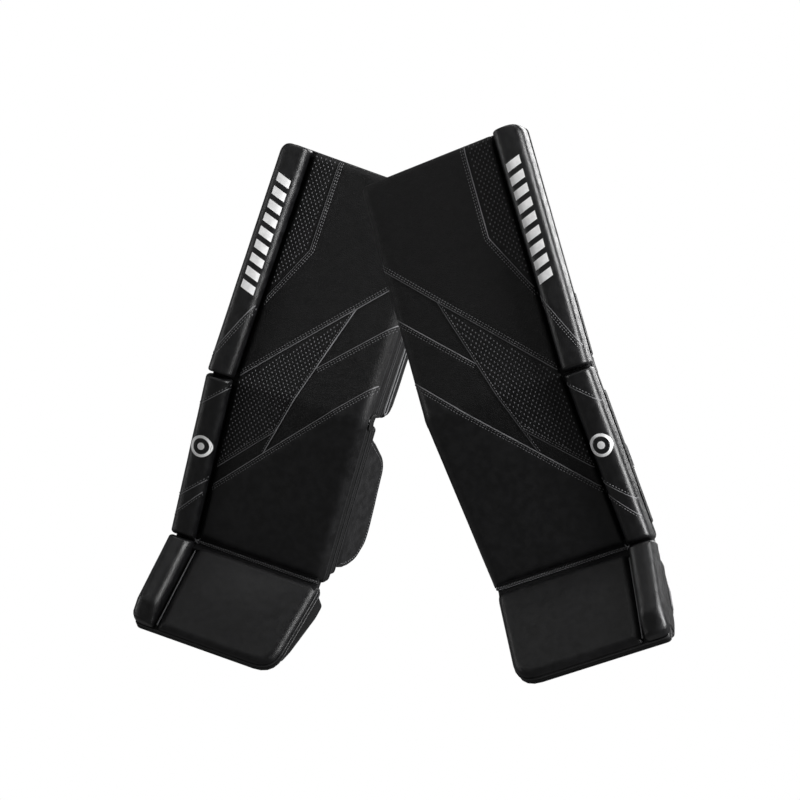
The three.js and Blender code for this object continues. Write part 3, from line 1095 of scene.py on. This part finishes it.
def closed_behind(points, faces, patches, border, pad):
    """Closes a cover with a wall down to the core and a flat back."""
    back = pad.shin.extent(f"{pad.side}_shin_face")[1][1]
    count, around = len(points), len(border)
    rim = points[border].copy()
    rim[:, 1] = back
    wall, behind = [], []
    for i, index in enumerate(border):
        j = (i + 1) % around
        wall.append((index, count + i, count + j, border[j]))
        behind.append((count + i, count + around, count + j))
    points = np.concatenate([points, rim, [rim.mean(0)]])
    return Shape(points, faces + wall + behind, patches + [0] * 2 * around)


def inside(outline_points, point):
    """Whether a point is in an outline."""
    within = False
    for (x0, y0), (x1, y1) in zip(outline_points, outline_points[1:] + outline_points[:1]):
        if (y0 > point[1]) != (y1 > point[1]) and point[0] < (x1 - x0) * (point[1] - y0) / (y1 - y0) + x0:
            within = not within
    return within


def perforations(tree, outline_points):
    """Staggered small perforations, with a plain margin beside the outline."""
    made = []
    pitch, half = PERFORATION["across"], PERFORATION["along"] / 2
    size = [PERFORATION[key] for key in ("length", "width", "height")]
    sides = list(zip(outline_points, outline_points[1:] + outline_points[:1]))
    low, high = np.min(outline_points, axis=0), np.max(outline_points, axis=0)
    for row in range(int(low[1] / half), int(high[1] / half) + 1):
        for column in range(int(low[0] / pitch) - 1, int(high[0] / pitch) + 1):
            point = np.array([(column + 0.5 * (row % 2)) * pitch, row * half])
            if not inside(outline_points, point):
                continue
            if min(away(point[None], start, end)[0] for start, end in sides) < PERFORATION["margin"]:
                continue
            found = lay(tree, *point)
            if found is not None:
                made.append(bead(*found, np.array([0.25, 0, 1.0]), *size, sides=8))
    return made


def add_seams(pad, name, tree, seams, place, body, bend=None):
    """The raw edges and the stitches of seams on a surface."""
    edges, threads = [], []
    for seam in seams:
        edges.append(raw_edge(tree, seam["points"]))
        for row in seam["rows"]:
            threads += stitches(tree, seam["points"], row)
    pad.add(f"{name}_raw_edges", joined(edges), place, body, "thread", bend=bend)
    pad.add(f"{name}_stitches", joined(threads), place, body, "thread", bend=bend)


def add_face(pad):
    shape = rippled(face_shape(pad), "face")
    tree = shape.tree()
    pad.add("face_cover", shape, pad.over_knee, None, "face", replaces=("shin_face", "thigh_face"),
            smooth=50, bend=pad.knee_bend, fill=0.8)
    add_seams(pad, "face", tree, SEAMS.values(), pad.over_knee, None, bend=pad.knee_bend)
    # The perforation dots carry a painted highlight in their light grey colour.
    dots = [dot for outline_points in PERFORATED for dot in perforations(tree, outline_points)]
    pad.add("face_perforations", joined(dots), pad.over_knee, None, "dots", bend=pad.knee_bend)


# ---------- the outer rolls ----------
def roll_shape(left, right, front, back, low_end, high_end):
    """A padded roll that runs up the outer edge. left, right and front are functions of height; low_end
    and high_end give its ends at a depth and a place across."""
    turn = np.linspace(0, math.pi / 2, 5)
    end = ROLL_RINGS["end"]
    rounding = [(end * (1 - math.cos(a)), end * (1 - math.sin(a))) for a in turn]
    middle = (left(0) + right(0)) / 2
    length = high_end(0, middle) - low_end(0, middle) - 2 * end
    shares = graded(length, ROLL_RINGS["fine"], ROLL_RINGS["step"])[1:-1] / length
    stations = [(0, offset, inset) for offset, inset in rounding]
    stations += [(share, None, 0) for share in shares]
    stations += [(1, offset, inset) for offset, inset in rounding[::-1]]

    rings = []
    for share, offset, inset in stations:
        def height(depth, across):
            low, high = low_end(depth, across), high_end(depth, across)
            if offset is None:
                return (low + end) * (1 - share) + (high - end) * share
            return low + offset if share == 0 else high - offset

        up = height(0, middle)
        corners = box(left(up) + inset, right(up) - inset, front(up) + inset, back - inset)
        ring = rounded([np.array(c, float) for c in corners], ROLL_RADII, [8, 4, 5, 5], arc=7)
        half = (right(up) - left(up)) / 2
        swell = 1 - ((ring[:, 0] - left(up) - half) / half) ** 2
        depth = ring[:, 1] - ROLL_CROWN * np.clip(swell, 0, 1) * (ring[:, 1] < 0)
        ups = height(depth, ring[:, 0]) + np.zeros(len(ring))
        rings.append(np.column_stack([ring[:, 0], depth, ups]))
    return lofted(rings)


def constant(value):
    return lambda *anything: value


def add_rolls(pad):
    for part, (low_end, high_end) in section_ends(pad, "roll").items():
        section = getattr(pad, part)
        low, high = section.extent(f"{pad.side}_{part}_roll")
        groove = section.side_line(f"{pad.side}_{part}_roll", -1)
        left = lambda up, groove=groove: groove(up) + CHANNEL - 1.0
        right, front = constant(high[0]), constant(low[1])
        if part == "thigh":
            right = lambda up, edge=high[0]: edge - fall(pad.thigh_height + 3 - up, TOP_CORNER)
        if part == "boot":
            toe = low[2]
            start = toe + TOE_CHAMFER["length"]
            front = lambda up, face=low[1]: face + max(0.0, start - up) * TOE_CHAMFER["slope"]
            right = lambda up, edge=high[0]: edge - fall(up - toe, TOE_CHAMFER["corner"])
        shape = roll_shape(left, right, front, high[1], low_end, high_end)
        shape = rippled(shape, "roll", part)
        pad.add(f"{part}_roll_cover", shape, section, part, "roll", replaces=(f"{part}_roll",),
                smooth=55, fill=0.9)
        add_roll_trim(pad, part, section, shape.tree())


def add_roll_trim(pad, part, section, tree):
    """Seams and plain printed marks on a roll."""
    if part == "boot":
        return
    if part == "thigh":
        seams = []
        for seam in THIGH_ROLL_SEAMS:
            seams.append({**seam, "points": [(x, up - pad.shin_length) for x, up in seam["points"]]})
        marks = bar_column(tree, ROLL_BARS)
    else:
        seams = SHIN_ROLL_SEAMS
        centre = (BADGE["across"], BADGE["up"])
        ring = disc_ring(tree, centre, BADGE["inner"], BADGE["outer"])
        marks = joined([ring, disc_ring(tree, centre, 0.05, BADGE["dot"])])
    add_seams(pad, f"{part}_roll", tree, seams, section, part)
    pad.add(f"{part}_roll_marks", marks, section, part, "white")


# ---------- side casings, linings and folds ----------
def section_outline(left, right, low_end, high_end, radius):
    """The outline of a panel whose ends depend on the depth."""
    def corners_at(depth):
        corners = []
        for end, sides in ((low_end, (left, right)), (high_end, (right, left))):
            for side in sides:
                across = side(end(depth, 0))
                corners.append((across, end(depth, across)))
        return corners

    return outline(corners_at, radius)


def piping(outline_at, depth, inset=-0.3, radius=PIPING):
    """A piped cord round an outline at one depth."""
    return tube(at_depth(outline_at(depth, inset), depth), radius, closed=True)


def section_ends(pad, layer):
    """The two ends of each section, as functions of the depth and the place across. The boot's toe end is
    that of a CAD layer: the core or the roll."""
    slope = math.tan(math.radians(TOP_SLANT))
    toe = pad.boot.extent(f"{pad.side}_boot_{layer}")[0][2]
    return {
        "thigh": (
            lambda depth, across: knee_end(depth),
            lambda depth, across: pad.thigh_height + (across - pad.groove_at_knee) * slope,
        ),
        "shin": (
            lambda depth, across: ankle_end(depth),
            lambda depth, across: pad.shin_length - knee_end(depth),
        ),
        "boot": (constant(toe), lambda depth, across: -ankle_end(depth)),
    }


def add_casings(pad):
    """The leather casing over each foam core, and the lining behind it."""
    for part, (below, above) in section_ends(pad, "core").items():
        section = getattr(pad, part)
        node = f"{pad.side}_{part}_core"
        low, high = section.extent(node)
        left, right = section.side_line(node, -1), constant(high[0])
        radius = BOOT_CORNERS if part == "boot" else 10
        at = section_outline(left, right, below, above, radius)
        shape = rippled(puffed(at, low[1], high[1], 3, bulge=1.4), "casing", part)
        pad.add(f"{part}_casing", shape, section, part, "side", replaces=(f"{part}_core",), fill=0.9)
        low_end = below if part == "boot" else lambda *place, end=below: end(*place) + CORD_CLEAR
        high_end = above if part == "thigh" else lambda *place, end=above: end(*place) - CORD_CLEAR
        at = section_outline(left, right, low_end, high_end, radius)
        cords = [piping(at, low[1] + 0.6), piping(at, high[1] - 1.0)]
        pad.add(f"{part}_piping", joined(cords), section, part, "piping")
        if part == "boot":
            continue
        node = f"{pad.side}_{part}_liner"
        low, high = section.extent(node)
        at = section_outline(section.side_line(node, -1), constant(high[0]), below, above, 10)
        shape = puffed(at, low[1], high[1], 1.5, back_crown=0.6)
        pad.add(f"{part}_lining", shape, section, part, "lining", replaces=(f"{part}_liner",), fill=0.5)


def add_fold_sides(pad):
    """Leather strips that close the sides of the knee fold, placed over the knee and left unparented."""
    knee = pad.shin_length
    inner = float(pad.shin.side_line(f"{pad.side}_shin_core", -1)(knee))
    outer = pad.shin.extent(f"{pad.side}_shin_core")[1][0]
    front, back = FOLD_SIDE["front"], FOLD_SIDE["back"]
    corners = [
        (front, knee - FOLD_SIDE["front_reach"]), (back, knee - FOLD_SIDE["back_reach"]),
        (back, knee + FOLD_SIDE["back_reach"]), (front, knee + FOLD_SIDE["front_reach"]),
    ]
    for name, edge, facing in (("inner", inner, -1), ("outer", outer, 1)):
        shape = puffed(fixed(corners, 4, step=3), 0, FOLD_SIDE["thickness"], 1)
        points = shape.points[:, [1, 0, 2]]
        points[:, 0] = edge + facing * FOLD_SIDE["off"] + facing * points[:, 0]
        strip = Shape(points, shape.faces)
        pad.add(f"knee_fold_{name}_side", strip, pad.over_knee, None, "side", bend=pad.knee_bend)


def add_fold_linings(pad):
    """Soft dark strips inside the knee and ankle folds, which close the slits between the sections."""
    knee = pad.shin_length
    for name, middle, place, bend in (
        ("knee", knee, pad.over_knee, pad.knee_bend),
        ("ankle", 0, pad.over_ankle, pad.ankle_bend),
    ):
        inner = float(pad.shin.side_line(f"{pad.side}_shin_core", -1)(middle)) + FOLD_LINING["inner"]
        outer = pad.shin.extent(f"{pad.side}_shin_roll")[1][0] - FOLD_LINING["outer"]
        at = fixed(box(inner, outer, middle - FOLD_REACH, middle + FOLD_REACH), 3, step=4)
        strip = puffed(at, FOLD_LINING["front"], FOLD_LINING[f"{name}_back"], FOLD_LINING["rounding"])
        pad.add(f"{name}_fold_lining", strip, place, None, "nylon", bend=bend)


def add_ankle_crease(pad):
    """The corded seam along the ankle fold, with its zigzag of thread and a tie at each end."""
    inner = float(pad.shin.side_line(f"{pad.side}_shin_face", -1)(0))
    groove = float(pad.shin.side_line(f"{pad.side}_shin_face", 1)(0))
    across = np.arange(inner + 4, groove + 6, 4.0)
    wave = np.array([noise.noise(Vector((x / 15, 2.5, 0))) for x in across])
    path = np.column_stack([across, CREASE["depth"] + wave * 0.8, wave * 0.6])
    pad.add("ankle_crease_cord", tube(path, CREASE["radius"]), pad.shin, "shin", "piping")
    threads = []
    for i, x in enumerate(np.arange(inner + 6, groove + 4, CREASE["pitch"] / 2)):
        sign = 1 if i % 2 else -1
        front = np.array([x, CREASE["depth"] - CREASE["radius"] - 0.2, sign * 1.5])
        along = np.array([1.0, 0, sign * 0.7])
        threads.append(bead(front, np.array([0, -1.0, sign * 0.4]), along, *CREASE["thread"]))
    for sign in (-1, 1):
        path = [(-5, 6, -5 * sign), (-2, 1.5, -2 * sign), (2, 1.5, 2 * sign), (5, 6, 5 * sign)]
        threads.append(tube(spaced(np.array(path) + (groove + 1, 0, 0), 1.5), 0.8))
    pad.add("ankle_crease_thread", joined(threads), pad.shin, "shin", "thread")


# ---------- the boot ----------
def add_boot_face(pad):
    node = f"{pad.side}_boot_face"
    low, high = pad.boot.extent(node)
    left, right = pad.boot.side_line(node, -1), pad.boot.side_line(node, 1)
    ends = section_ends(pad, "core")["boot"]
    at = section_outline(lambda up: left(up) + 1, lambda up: right(up) - CHANNEL, *ends, BOOT_CORNERS)
    shape = puffed(at, low[1] + 3, high[1], BOOT_EDGE, back_edge=3, crown=BOOT_CROWN)
    shape = rippled(shape, "boot")
    pad.add("boot_face_cover", shape, pad.boot, "boot", "boot", replaces=("boot_face",),
            subdivide=True, fill=0.9)
    cord = []
    for up in np.arange(low[2] + 6, -6, 6.0):
        cord.append((right(up) - CHANNEL + BOOT_CHANNEL_CORD["off"], BOOT_CHANNEL_CORD["depth"], up))
    cord = tube(cord, BOOT_CHANNEL_CORD["radius"])
    pad.add("boot_channel_piping", cord, pad.boot, "boot", "thread")


def add_toe_bridge(pad):
    """The toe bridge: a moulded plate with raised eyelet rims, which have no holes."""
    low, high = pad.boot.extent(f"{pad.side}_toe_bridge")
    at = fixed(box(low[0], high[0], low[2], high[2]), 6)
    shape = puffed(at, low[1], high[1], 1.2, back_edge=2.2)
    pad.add("toe_bridge_plate", shape, pad.boot, "boot", "plastic", replaces=("toe_bridge",), smooth=40)
    middle = (low[2] + high[2]) / 2
    turns = np.linspace(0, 2 * math.pi, 20, endpoint=False)
    rims = []
    margin = EYELETS["margin"]
    for across in np.linspace(low[0] + margin, high[0] - margin, EYELETS["count"]):
        for radius, depth in ((EYELETS["inner"], high[1] + 0.3), (EYELETS["outer"], high[1] + 0.1)):
            ring = np.column_stack([across + radius * np.cos(turns), middle + radius * np.sin(turns)])
            rims.append(tube(at_depth(ring, depth), EYELETS["cord"], closed=True, sides=6))
    pad.add("toe_bridge_eyelets", joined(rims), pad.boot, "boot", "plastic")


# ---------- behind the pad ----------
def add_knee_block(pad):
    """The stack on the inner side that lands on the ice: base, riser and landing pad."""
    for name, look, edge, radius, crown in (
        ("knee_block_base", "nylon", 3, 9, 0.5),
        ("knee_block_riser", "side", 2.5, 9, 0.5),
        ("knee_landing_pad", "nylon", 8, 12, 3),
    ):
        low, high = pad.thigh.extent(f"{pad.side}_{name}")

        def corners_at(depth, low=low, high=high, name=name):
            bottom = low[2]
            if name == "knee_block_base":
                bottom = float(knee_end(max(depth, low[1])))
            if name == "knee_landing_pad":
                bottom += max(0.0, depth - high[1] + LANDING_CHAMFER)
            return box(low[0], high[0], bottom, high[2])

        at = outline(corners_at, radius)
        shape = puffed(at, low[1], high[1], edge, back_crown=crown, bulge=0.8)
        shape = rippled(shape, "knee_block", name)
        pad.add(f"{name}_cover", shape, pad.thigh, "thigh", look, replaces=(name,), fill=0.9)
        if name != "knee_landing_pad":
            cords = [piping(at, low[1] + 0.8), piping(at, high[1] - 0.8)]
            pad.add(f"{name}_piping", joined(cords), pad.thigh, "thigh", "piping")
    low, high = pad.thigh.extent(f"{pad.side}_knee_block_riser")
    top, middle = high[2] - BLOCK_LOOP["top"], (low[1] + high[1]) / 2
    reach = (high[1] - low[1]) / 2 - BLOCK_LOOP["edges"]
    bottom = low[2] + BLOCK_LOOP["bottom"] + reach
    arc = [(bottom - reach * math.sin(a), middle - reach * math.cos(a)) for a in np.linspace(0, math.pi, 9)]
    line = spaced([(top, middle - reach), *arc, (top, middle + reach)], 3)
    loop = np.column_stack([np.full(len(line), low[0] - BLOCK_LOOP["side"]), line[:, 1], line[:, 0]])
    pad.add("knee_block_loop", tube(loop, BLOCK_LOOP["radius"]), pad.thigh, "thigh", "thread")


def add_cushions(pad):
    """The soft pads behind the knee and the shin, with their sewn channels."""
    for name, section, part, channels in (
        ("knee_cradle", pad.thigh, "thigh", 2),
        ("calf_cushion", pad.shin, "shin", 3),
    ):
        low, high = section.extent(f"{pad.side}_{name}")
        inset, end = CUSHION["inset"], CUSHION["channel_end"]
        corners = box(low[0] + inset, high[0] - inset, low[2] + inset, high[2] - inset)
        at = fixed(corners, CUSHION["corner"])
        shape = inflated(name, puffed(at, low[1] + 1, high[1] - 2, CUSHION["edge"], back_crown=1.5))
        lines = []
        for across in np.linspace(low[0], high[0], channels + 2)[1:-1]:
            lines.append([(across, low[2] + end), (across, high[2] - end)])
        shape = sewn(shape, lines, CUSHION["channel_depth"], CUSHION["channel_width"], -1)
        pad.add(f"{name}_cover", shape, section, part, "lining", replaces=(name,), subdivide=True, fill=0.7)


def add_gussets(pad):
    """The nylon gussets on the inner side, behind the shin and behind the boot."""
    node = f"{pad.side}_inner_gusset"
    low, high = pad.shin.extent(node)
    left, right = pad.shin.side_line(node, -1), pad.shin.side_line(node, 1)
    at = section_outline(left, right, constant(low[2]), constant(high[2]), 6)
    shape = rippled(puffed(at, low[1], high[1], 3, bulge=1.2), "gusset")
    pad.add("inner_gusset_cover", shape, pad.shin, "shin", "nylon", replaces=("inner_gusset",), fill=0.7)
    pad.add("inner_gusset_piping", piping(at, high[1] - 1), pad.shin, "shin", "piping")

    node = f"{pad.side}_inner_boot_gusset"
    low, high = pad.boot.extent(node)
    edge = pad.boot.side_line(node, -1)

    def place(points):
        back, through, up = np.asarray(points, float).T
        return pad.boot(np.column_stack([edge(up) + through, low[1] + back, up]))

    at = fixed(BOOT_GUSSET, 5, step=5)
    shape = rippled(puffed(at, 0, GUSSET_THICKNESS, 3.5, crown=1, back_crown=1), "boot_gusset")
    pad.add("inner_boot_gusset_cover", shape, place, "boot", "side", replaces=("inner_boot_gusset",),
            fill=0.7)
    pad.add("inner_boot_gusset_piping", piping(at, 2.0), place, "boot", "piping")


def wing_place(section, wing):
    """The sheet of a wing: its front is the wing's outer surface."""
    turn = math.radians(wing["turn"])
    back = np.array([-math.sin(turn), math.cos(turn), 0])
    through = np.array([math.cos(turn), math.sin(turn), 0])
    start = np.array([*wing["start"], 0.0])
    if wing["facing"] > 0:
        return section.sheet(start + through * WING_THICKNESS, back, -through)
    return section.sheet(start, back, through)


def add_wings(pad):
    """The stiff wings round the leg, each with its bound edge, stitching and hinge strip."""
    for name, wing in WINGS.items():
        section = getattr(pad, wing["section"])
        place = wing_place(section, wing)
        at = fixed(wing["outline"], WING_CORNER, step=6)
        shape = puffed(at, 0, WING_THICKNESS, WING_EDGE, crown=1.6, back_crown=1.2)
        if wing["fold"]:
            ups = [up for _, up in wing["outline"]]
            fold = [(wing["fold"], min(ups)), (wing["fold"], max(ups))]
            shape = sewn(shape, [fold], WING_CREASE["depth"], WING_CREASE["width"], 1)
        shape = rippled(shape, "wing", name)
        tree = shape.tree()
        pad.add(f"{name}_board", shape, place, name, "wing", replaces=(name,), fill=0.9, subdivide=True)
        binding = piping(at, WING_THICKNESS / 2, **WING_BINDING)
        pad.add(f"{name}_binding", binding, place, name, "piping")
        inner = shrunk([np.array(c, float) for c in wing["outline"]], WING_STITCHES)
        loop = rounded(inner, 6, [2] * len(inner), arc=4)
        pad.add(f"{name}_stitches", joined(stitches(tree, [*loop, loop[0]])), place, name, "thread")
        add_hinge_strip(pad, name, wing, section)
        if name == "outer_calf_wing":
            pad.add(f"{name}_marks", bar_column(tree, WING_BARS), place, name, "white")
        if wing["anchor"]:
            add_anchor(pad, name, wing["anchor"], tree, place)


def strip_shape(path, low, high, thickness):
    """A thin strip that follows a plan path, from one height to another."""
    line = spaced(path, 2)
    along = np.gradient(line, axis=0)
    edge = thickness / 2
    normal = np.array([unit(left_of(a)) for a in along]) * thickness / 2
    ups = np.array([low, low + edge, *np.linspace(low + 6, high - 6, 12), high - edge, high])
    shares = np.array([0.3, 1, *[1] * 12, 1, 0.3])
    rings = []
    for up, share in zip(ups, shares):
        ring = np.concatenate([line + normal * share, (line - normal * share)[::-1]])
        rings.append(np.column_stack([ring, np.full(len(ring), up)]))
    return lofted(rings)


def add_hinge_strip(pad, name, wing, section):
    """The leather strip that a wing turns on, between the pad and the wing, left unparented."""
    shape = strip_shape(wing["hinge"], *wing["reach"], HINGE_THICKNESS)
    start, end = section([(*wing["hinge"][0], 0), (*wing["hinge"][-1], 0)])
    bend = (wing["section"], name, start, end)
    pad.add(f"{name}_hinge", shape, section, None, "side", bend=bend)


def add_anchor(pad, name, anchor, tree, place):
    """The sewn patch that holds a strap on its wing, with a crossed square of stitches."""
    across, up = anchor
    steps_across, steps_up = np.linspace(*PATCH["across"], 8), np.linspace(*PATCH["up"], 9)
    rows = [[(across + u, up + v) for u in steps_across] for v in steps_up]
    patch = plate(tree, rows, [1.0, *[1.4] * 7, 1.0])
    pad.add(f"{name}_anchor", patch, place, name, "webbing")
    top = patch.tree()
    square = [(across + u, up + v) for u, v in box(*PATCH["square"])]
    threads = []
    for line in ([*square, square[0]], square[::2], square[1::2]):
        threads += stitches(top, line, pitch=THREAD_PITCH)
    pad.add(f"{name}_anchor_stitches", joined(threads), place, name, "thread")


def add_straps(pad):
    for name, strap in STRAPS.items():
        section = getattr(pad, strap["section"])
        start, bulge, join, end = (np.array(strap[key], float) for key in ("start", "bulge", "join", "end"))
        t = np.linspace(0, 1, 40)[:, None]
        line = (1 - t) ** 2 * start + 2 * t * (1 - t) * bulge + t**2 * join
        pad.add(f"{name}_webbing", webbing_shape(line, strap["up"]), section, name, "webbing",
                replaces=(name,), smooth=45)
        along = unit(end - join)
        normal = left_of(along)
        front = join - normal * TAB["thickness"] / 2
        place = section.sheet((*front, strap["up"]), (*along, 0), (*normal, 0))
        add_pull_tab(pad, name, np.linalg.norm(end - join), place)


def add_pull_tab(pad, name, length, place):
    """The rubber tab sewn to the end of a strap, with its grips and its square of stitches."""
    half = TAB["width"] / 2
    corners = [
        (-4, -half + 3), (length * 0.35, -half), (length, -half + 5),
        (length, half - 5), (length * 0.35, half), (-4, half - 3),
    ]
    tab = puffed(fixed(corners, 7, step=4), 0, TAB["thickness"], 1.8)
    pad.add(f"{name}_pull_tab", tab, place, name, "rubber", replaces=(f"{name}_tab",))
    tree = tab.tree()
    grips = []
    for across in np.linspace(length * 0.55, length - 9, 5):
        rows = [[(across + w, v) for v in np.linspace(-half + 10, half - 10, 8)] for w in (-1.1, 0, 1.1)]
        grips.append(plate(tree, rows, [0.3, 1.0, 0.3]))
    pad.add(f"{name}_pull_tab_grips", joined(grips), place, name, "rubber")
    square = box(1, length * 0.4, -half + 8, half - 8)
    threads = stitches(tree, [*square, square[0]], pitch=THREAD_PITCH)
    pad.add(f"{name}_pull_tab_stitches", joined(threads), place, name, "thread")


def webbing_shape(line, up):
    """Elastic webbing on edge along a plan line, with ribs that run along it."""
    along = np.gradient(line, axis=0)
    normals = np.array([unit(left_of(a)) for a in along])
    across = np.linspace(-1, 1, 31)
    thick = STRAP["thickness"] / 2 + STRAP["rib"] * np.cos(across * math.pi * STRAP["ribs"])
    thick *= np.sqrt(np.clip(1 - np.abs(across) ** 14, 0.05, 1))
    rings = []
    for point, normal in zip(line, normals):
        front, back = (
            [(*(point + facing * normal * w), up + v * STRAP["width"] / 2) for v, w in zip(across, thick)]
            for facing in (1, -1)
        )
        rings.append(np.array(front + back[::-1]))
    return lofted(rings)


# ======================================== the scene ========================================
def make_pad(side, looks):
    pad = Pad(side, looks)
    for add_pieces in (
        add_face, add_rolls, add_casings, add_fold_sides, add_fold_linings, add_ankle_crease, add_boot_face,
        add_toe_bridge, add_knee_block, add_cushions, add_gussets, add_wings, add_straps,
    ):
        add_pieces(pad)


def make_camera():
    azimuth, elevation = math.radians(CAMERA_AZIMUTH), math.radians(CAMERA_ELEVATION)
    level = math.cos(elevation)
    back = Vector((math.sin(azimuth) * level, -math.cos(azimuth) * level, math.sin(elevation)))
    data = bpy.data.cameras.new("camera")
    data.lens, data.sensor_width, data.clip_end = CAMERA_LENS, SENSOR, 100
    camera = linked("camera", data)
    camera.location = Vector(CAMERA_TARGET) + back * CAMERA_DISTANCE
    aim(camera, -back)
    bpy.context.scene.camera = camera


def aim(thing, direction):
    thing.rotation_mode = "QUATERNION"
    thing.rotation_quaternion = direction.to_track_quat("-Z", "Y")


def make_light(name, place, target, size, power):
    data = bpy.data.lights.new(name, "AREA")
    data.shape, data.size, data.size_y, data.energy = "RECTANGLE", *size, power
    light = linked(name, data)
    light.location = place
    aim(light, Vector(target) - Vector(place))


def white_for_camera(tree, shader_type, dim, output):
    """A stage surface or sky that is white where it is seen, and dim where it only lights the pads."""
    seen = tree.nodes.new("ShaderNodeLightPath").outputs["Is Camera Ray"]
    shaders = []
    for strength in (dim, 1.0):
        shader = tree.nodes.new(shader_type)
        shaders.append(connect(tree, shader, Color=(1, 1, 1, 1), Strength=strength).outputs[0])
    mixed = tree.nodes.new("ShaderNodeMixShader")
    connect(tree, mixed, _0=seen, _1=shaders[0], _2=shaders[1])
    tree.links.new(mixed.outputs[0], tree.nodes[output].inputs["Surface"])


def make_studio(low):
    """A white sweep without an end: a pale floor at the pads' lowest point and a white surround."""
    world = bpy.data.worlds.new("surround")
    bpy.context.scene.world = world
    world.use_nodes = True
    white_for_camera(world.node_tree, "ShaderNodeBackground", SKY, "World Output")

    reach = 30.0
    mesh = bpy.data.meshes.new("floor")
    corners = [(x, y, low - 0.002) for x, y in box(-reach, reach, -reach, reach)]
    mesh.from_pydata(corners, [], [(0, 1, 2, 3)])
    floor = linked("floor", mesh)
    material = bpy.data.materials.new("floor")
    material.use_nodes = True
    white_for_camera(material.node_tree, "ShaderNodeEmission", FLOOR, "Material Output")
    mesh.materials.append(material)

    for light in LIGHTS:
        make_light(*light)
    bpy.context.scene.view_settings.view_transform = "Standard"


def main():
    noise.seed_set(NOISE_SEED)
    looks = make_materials()
    make_camera()
    make_pad("left", looks)
    make_pad("right", looks)
    make_studio(cad_low.z)


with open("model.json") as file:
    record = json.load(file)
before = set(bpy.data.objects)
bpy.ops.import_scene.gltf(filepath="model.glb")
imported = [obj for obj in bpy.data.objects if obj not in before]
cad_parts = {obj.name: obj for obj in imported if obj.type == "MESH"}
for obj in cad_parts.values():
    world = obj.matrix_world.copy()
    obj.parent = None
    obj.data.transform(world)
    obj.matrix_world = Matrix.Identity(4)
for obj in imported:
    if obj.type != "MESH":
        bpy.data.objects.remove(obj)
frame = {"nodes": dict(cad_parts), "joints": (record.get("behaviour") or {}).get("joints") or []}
cad_low, cad_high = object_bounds()
main()
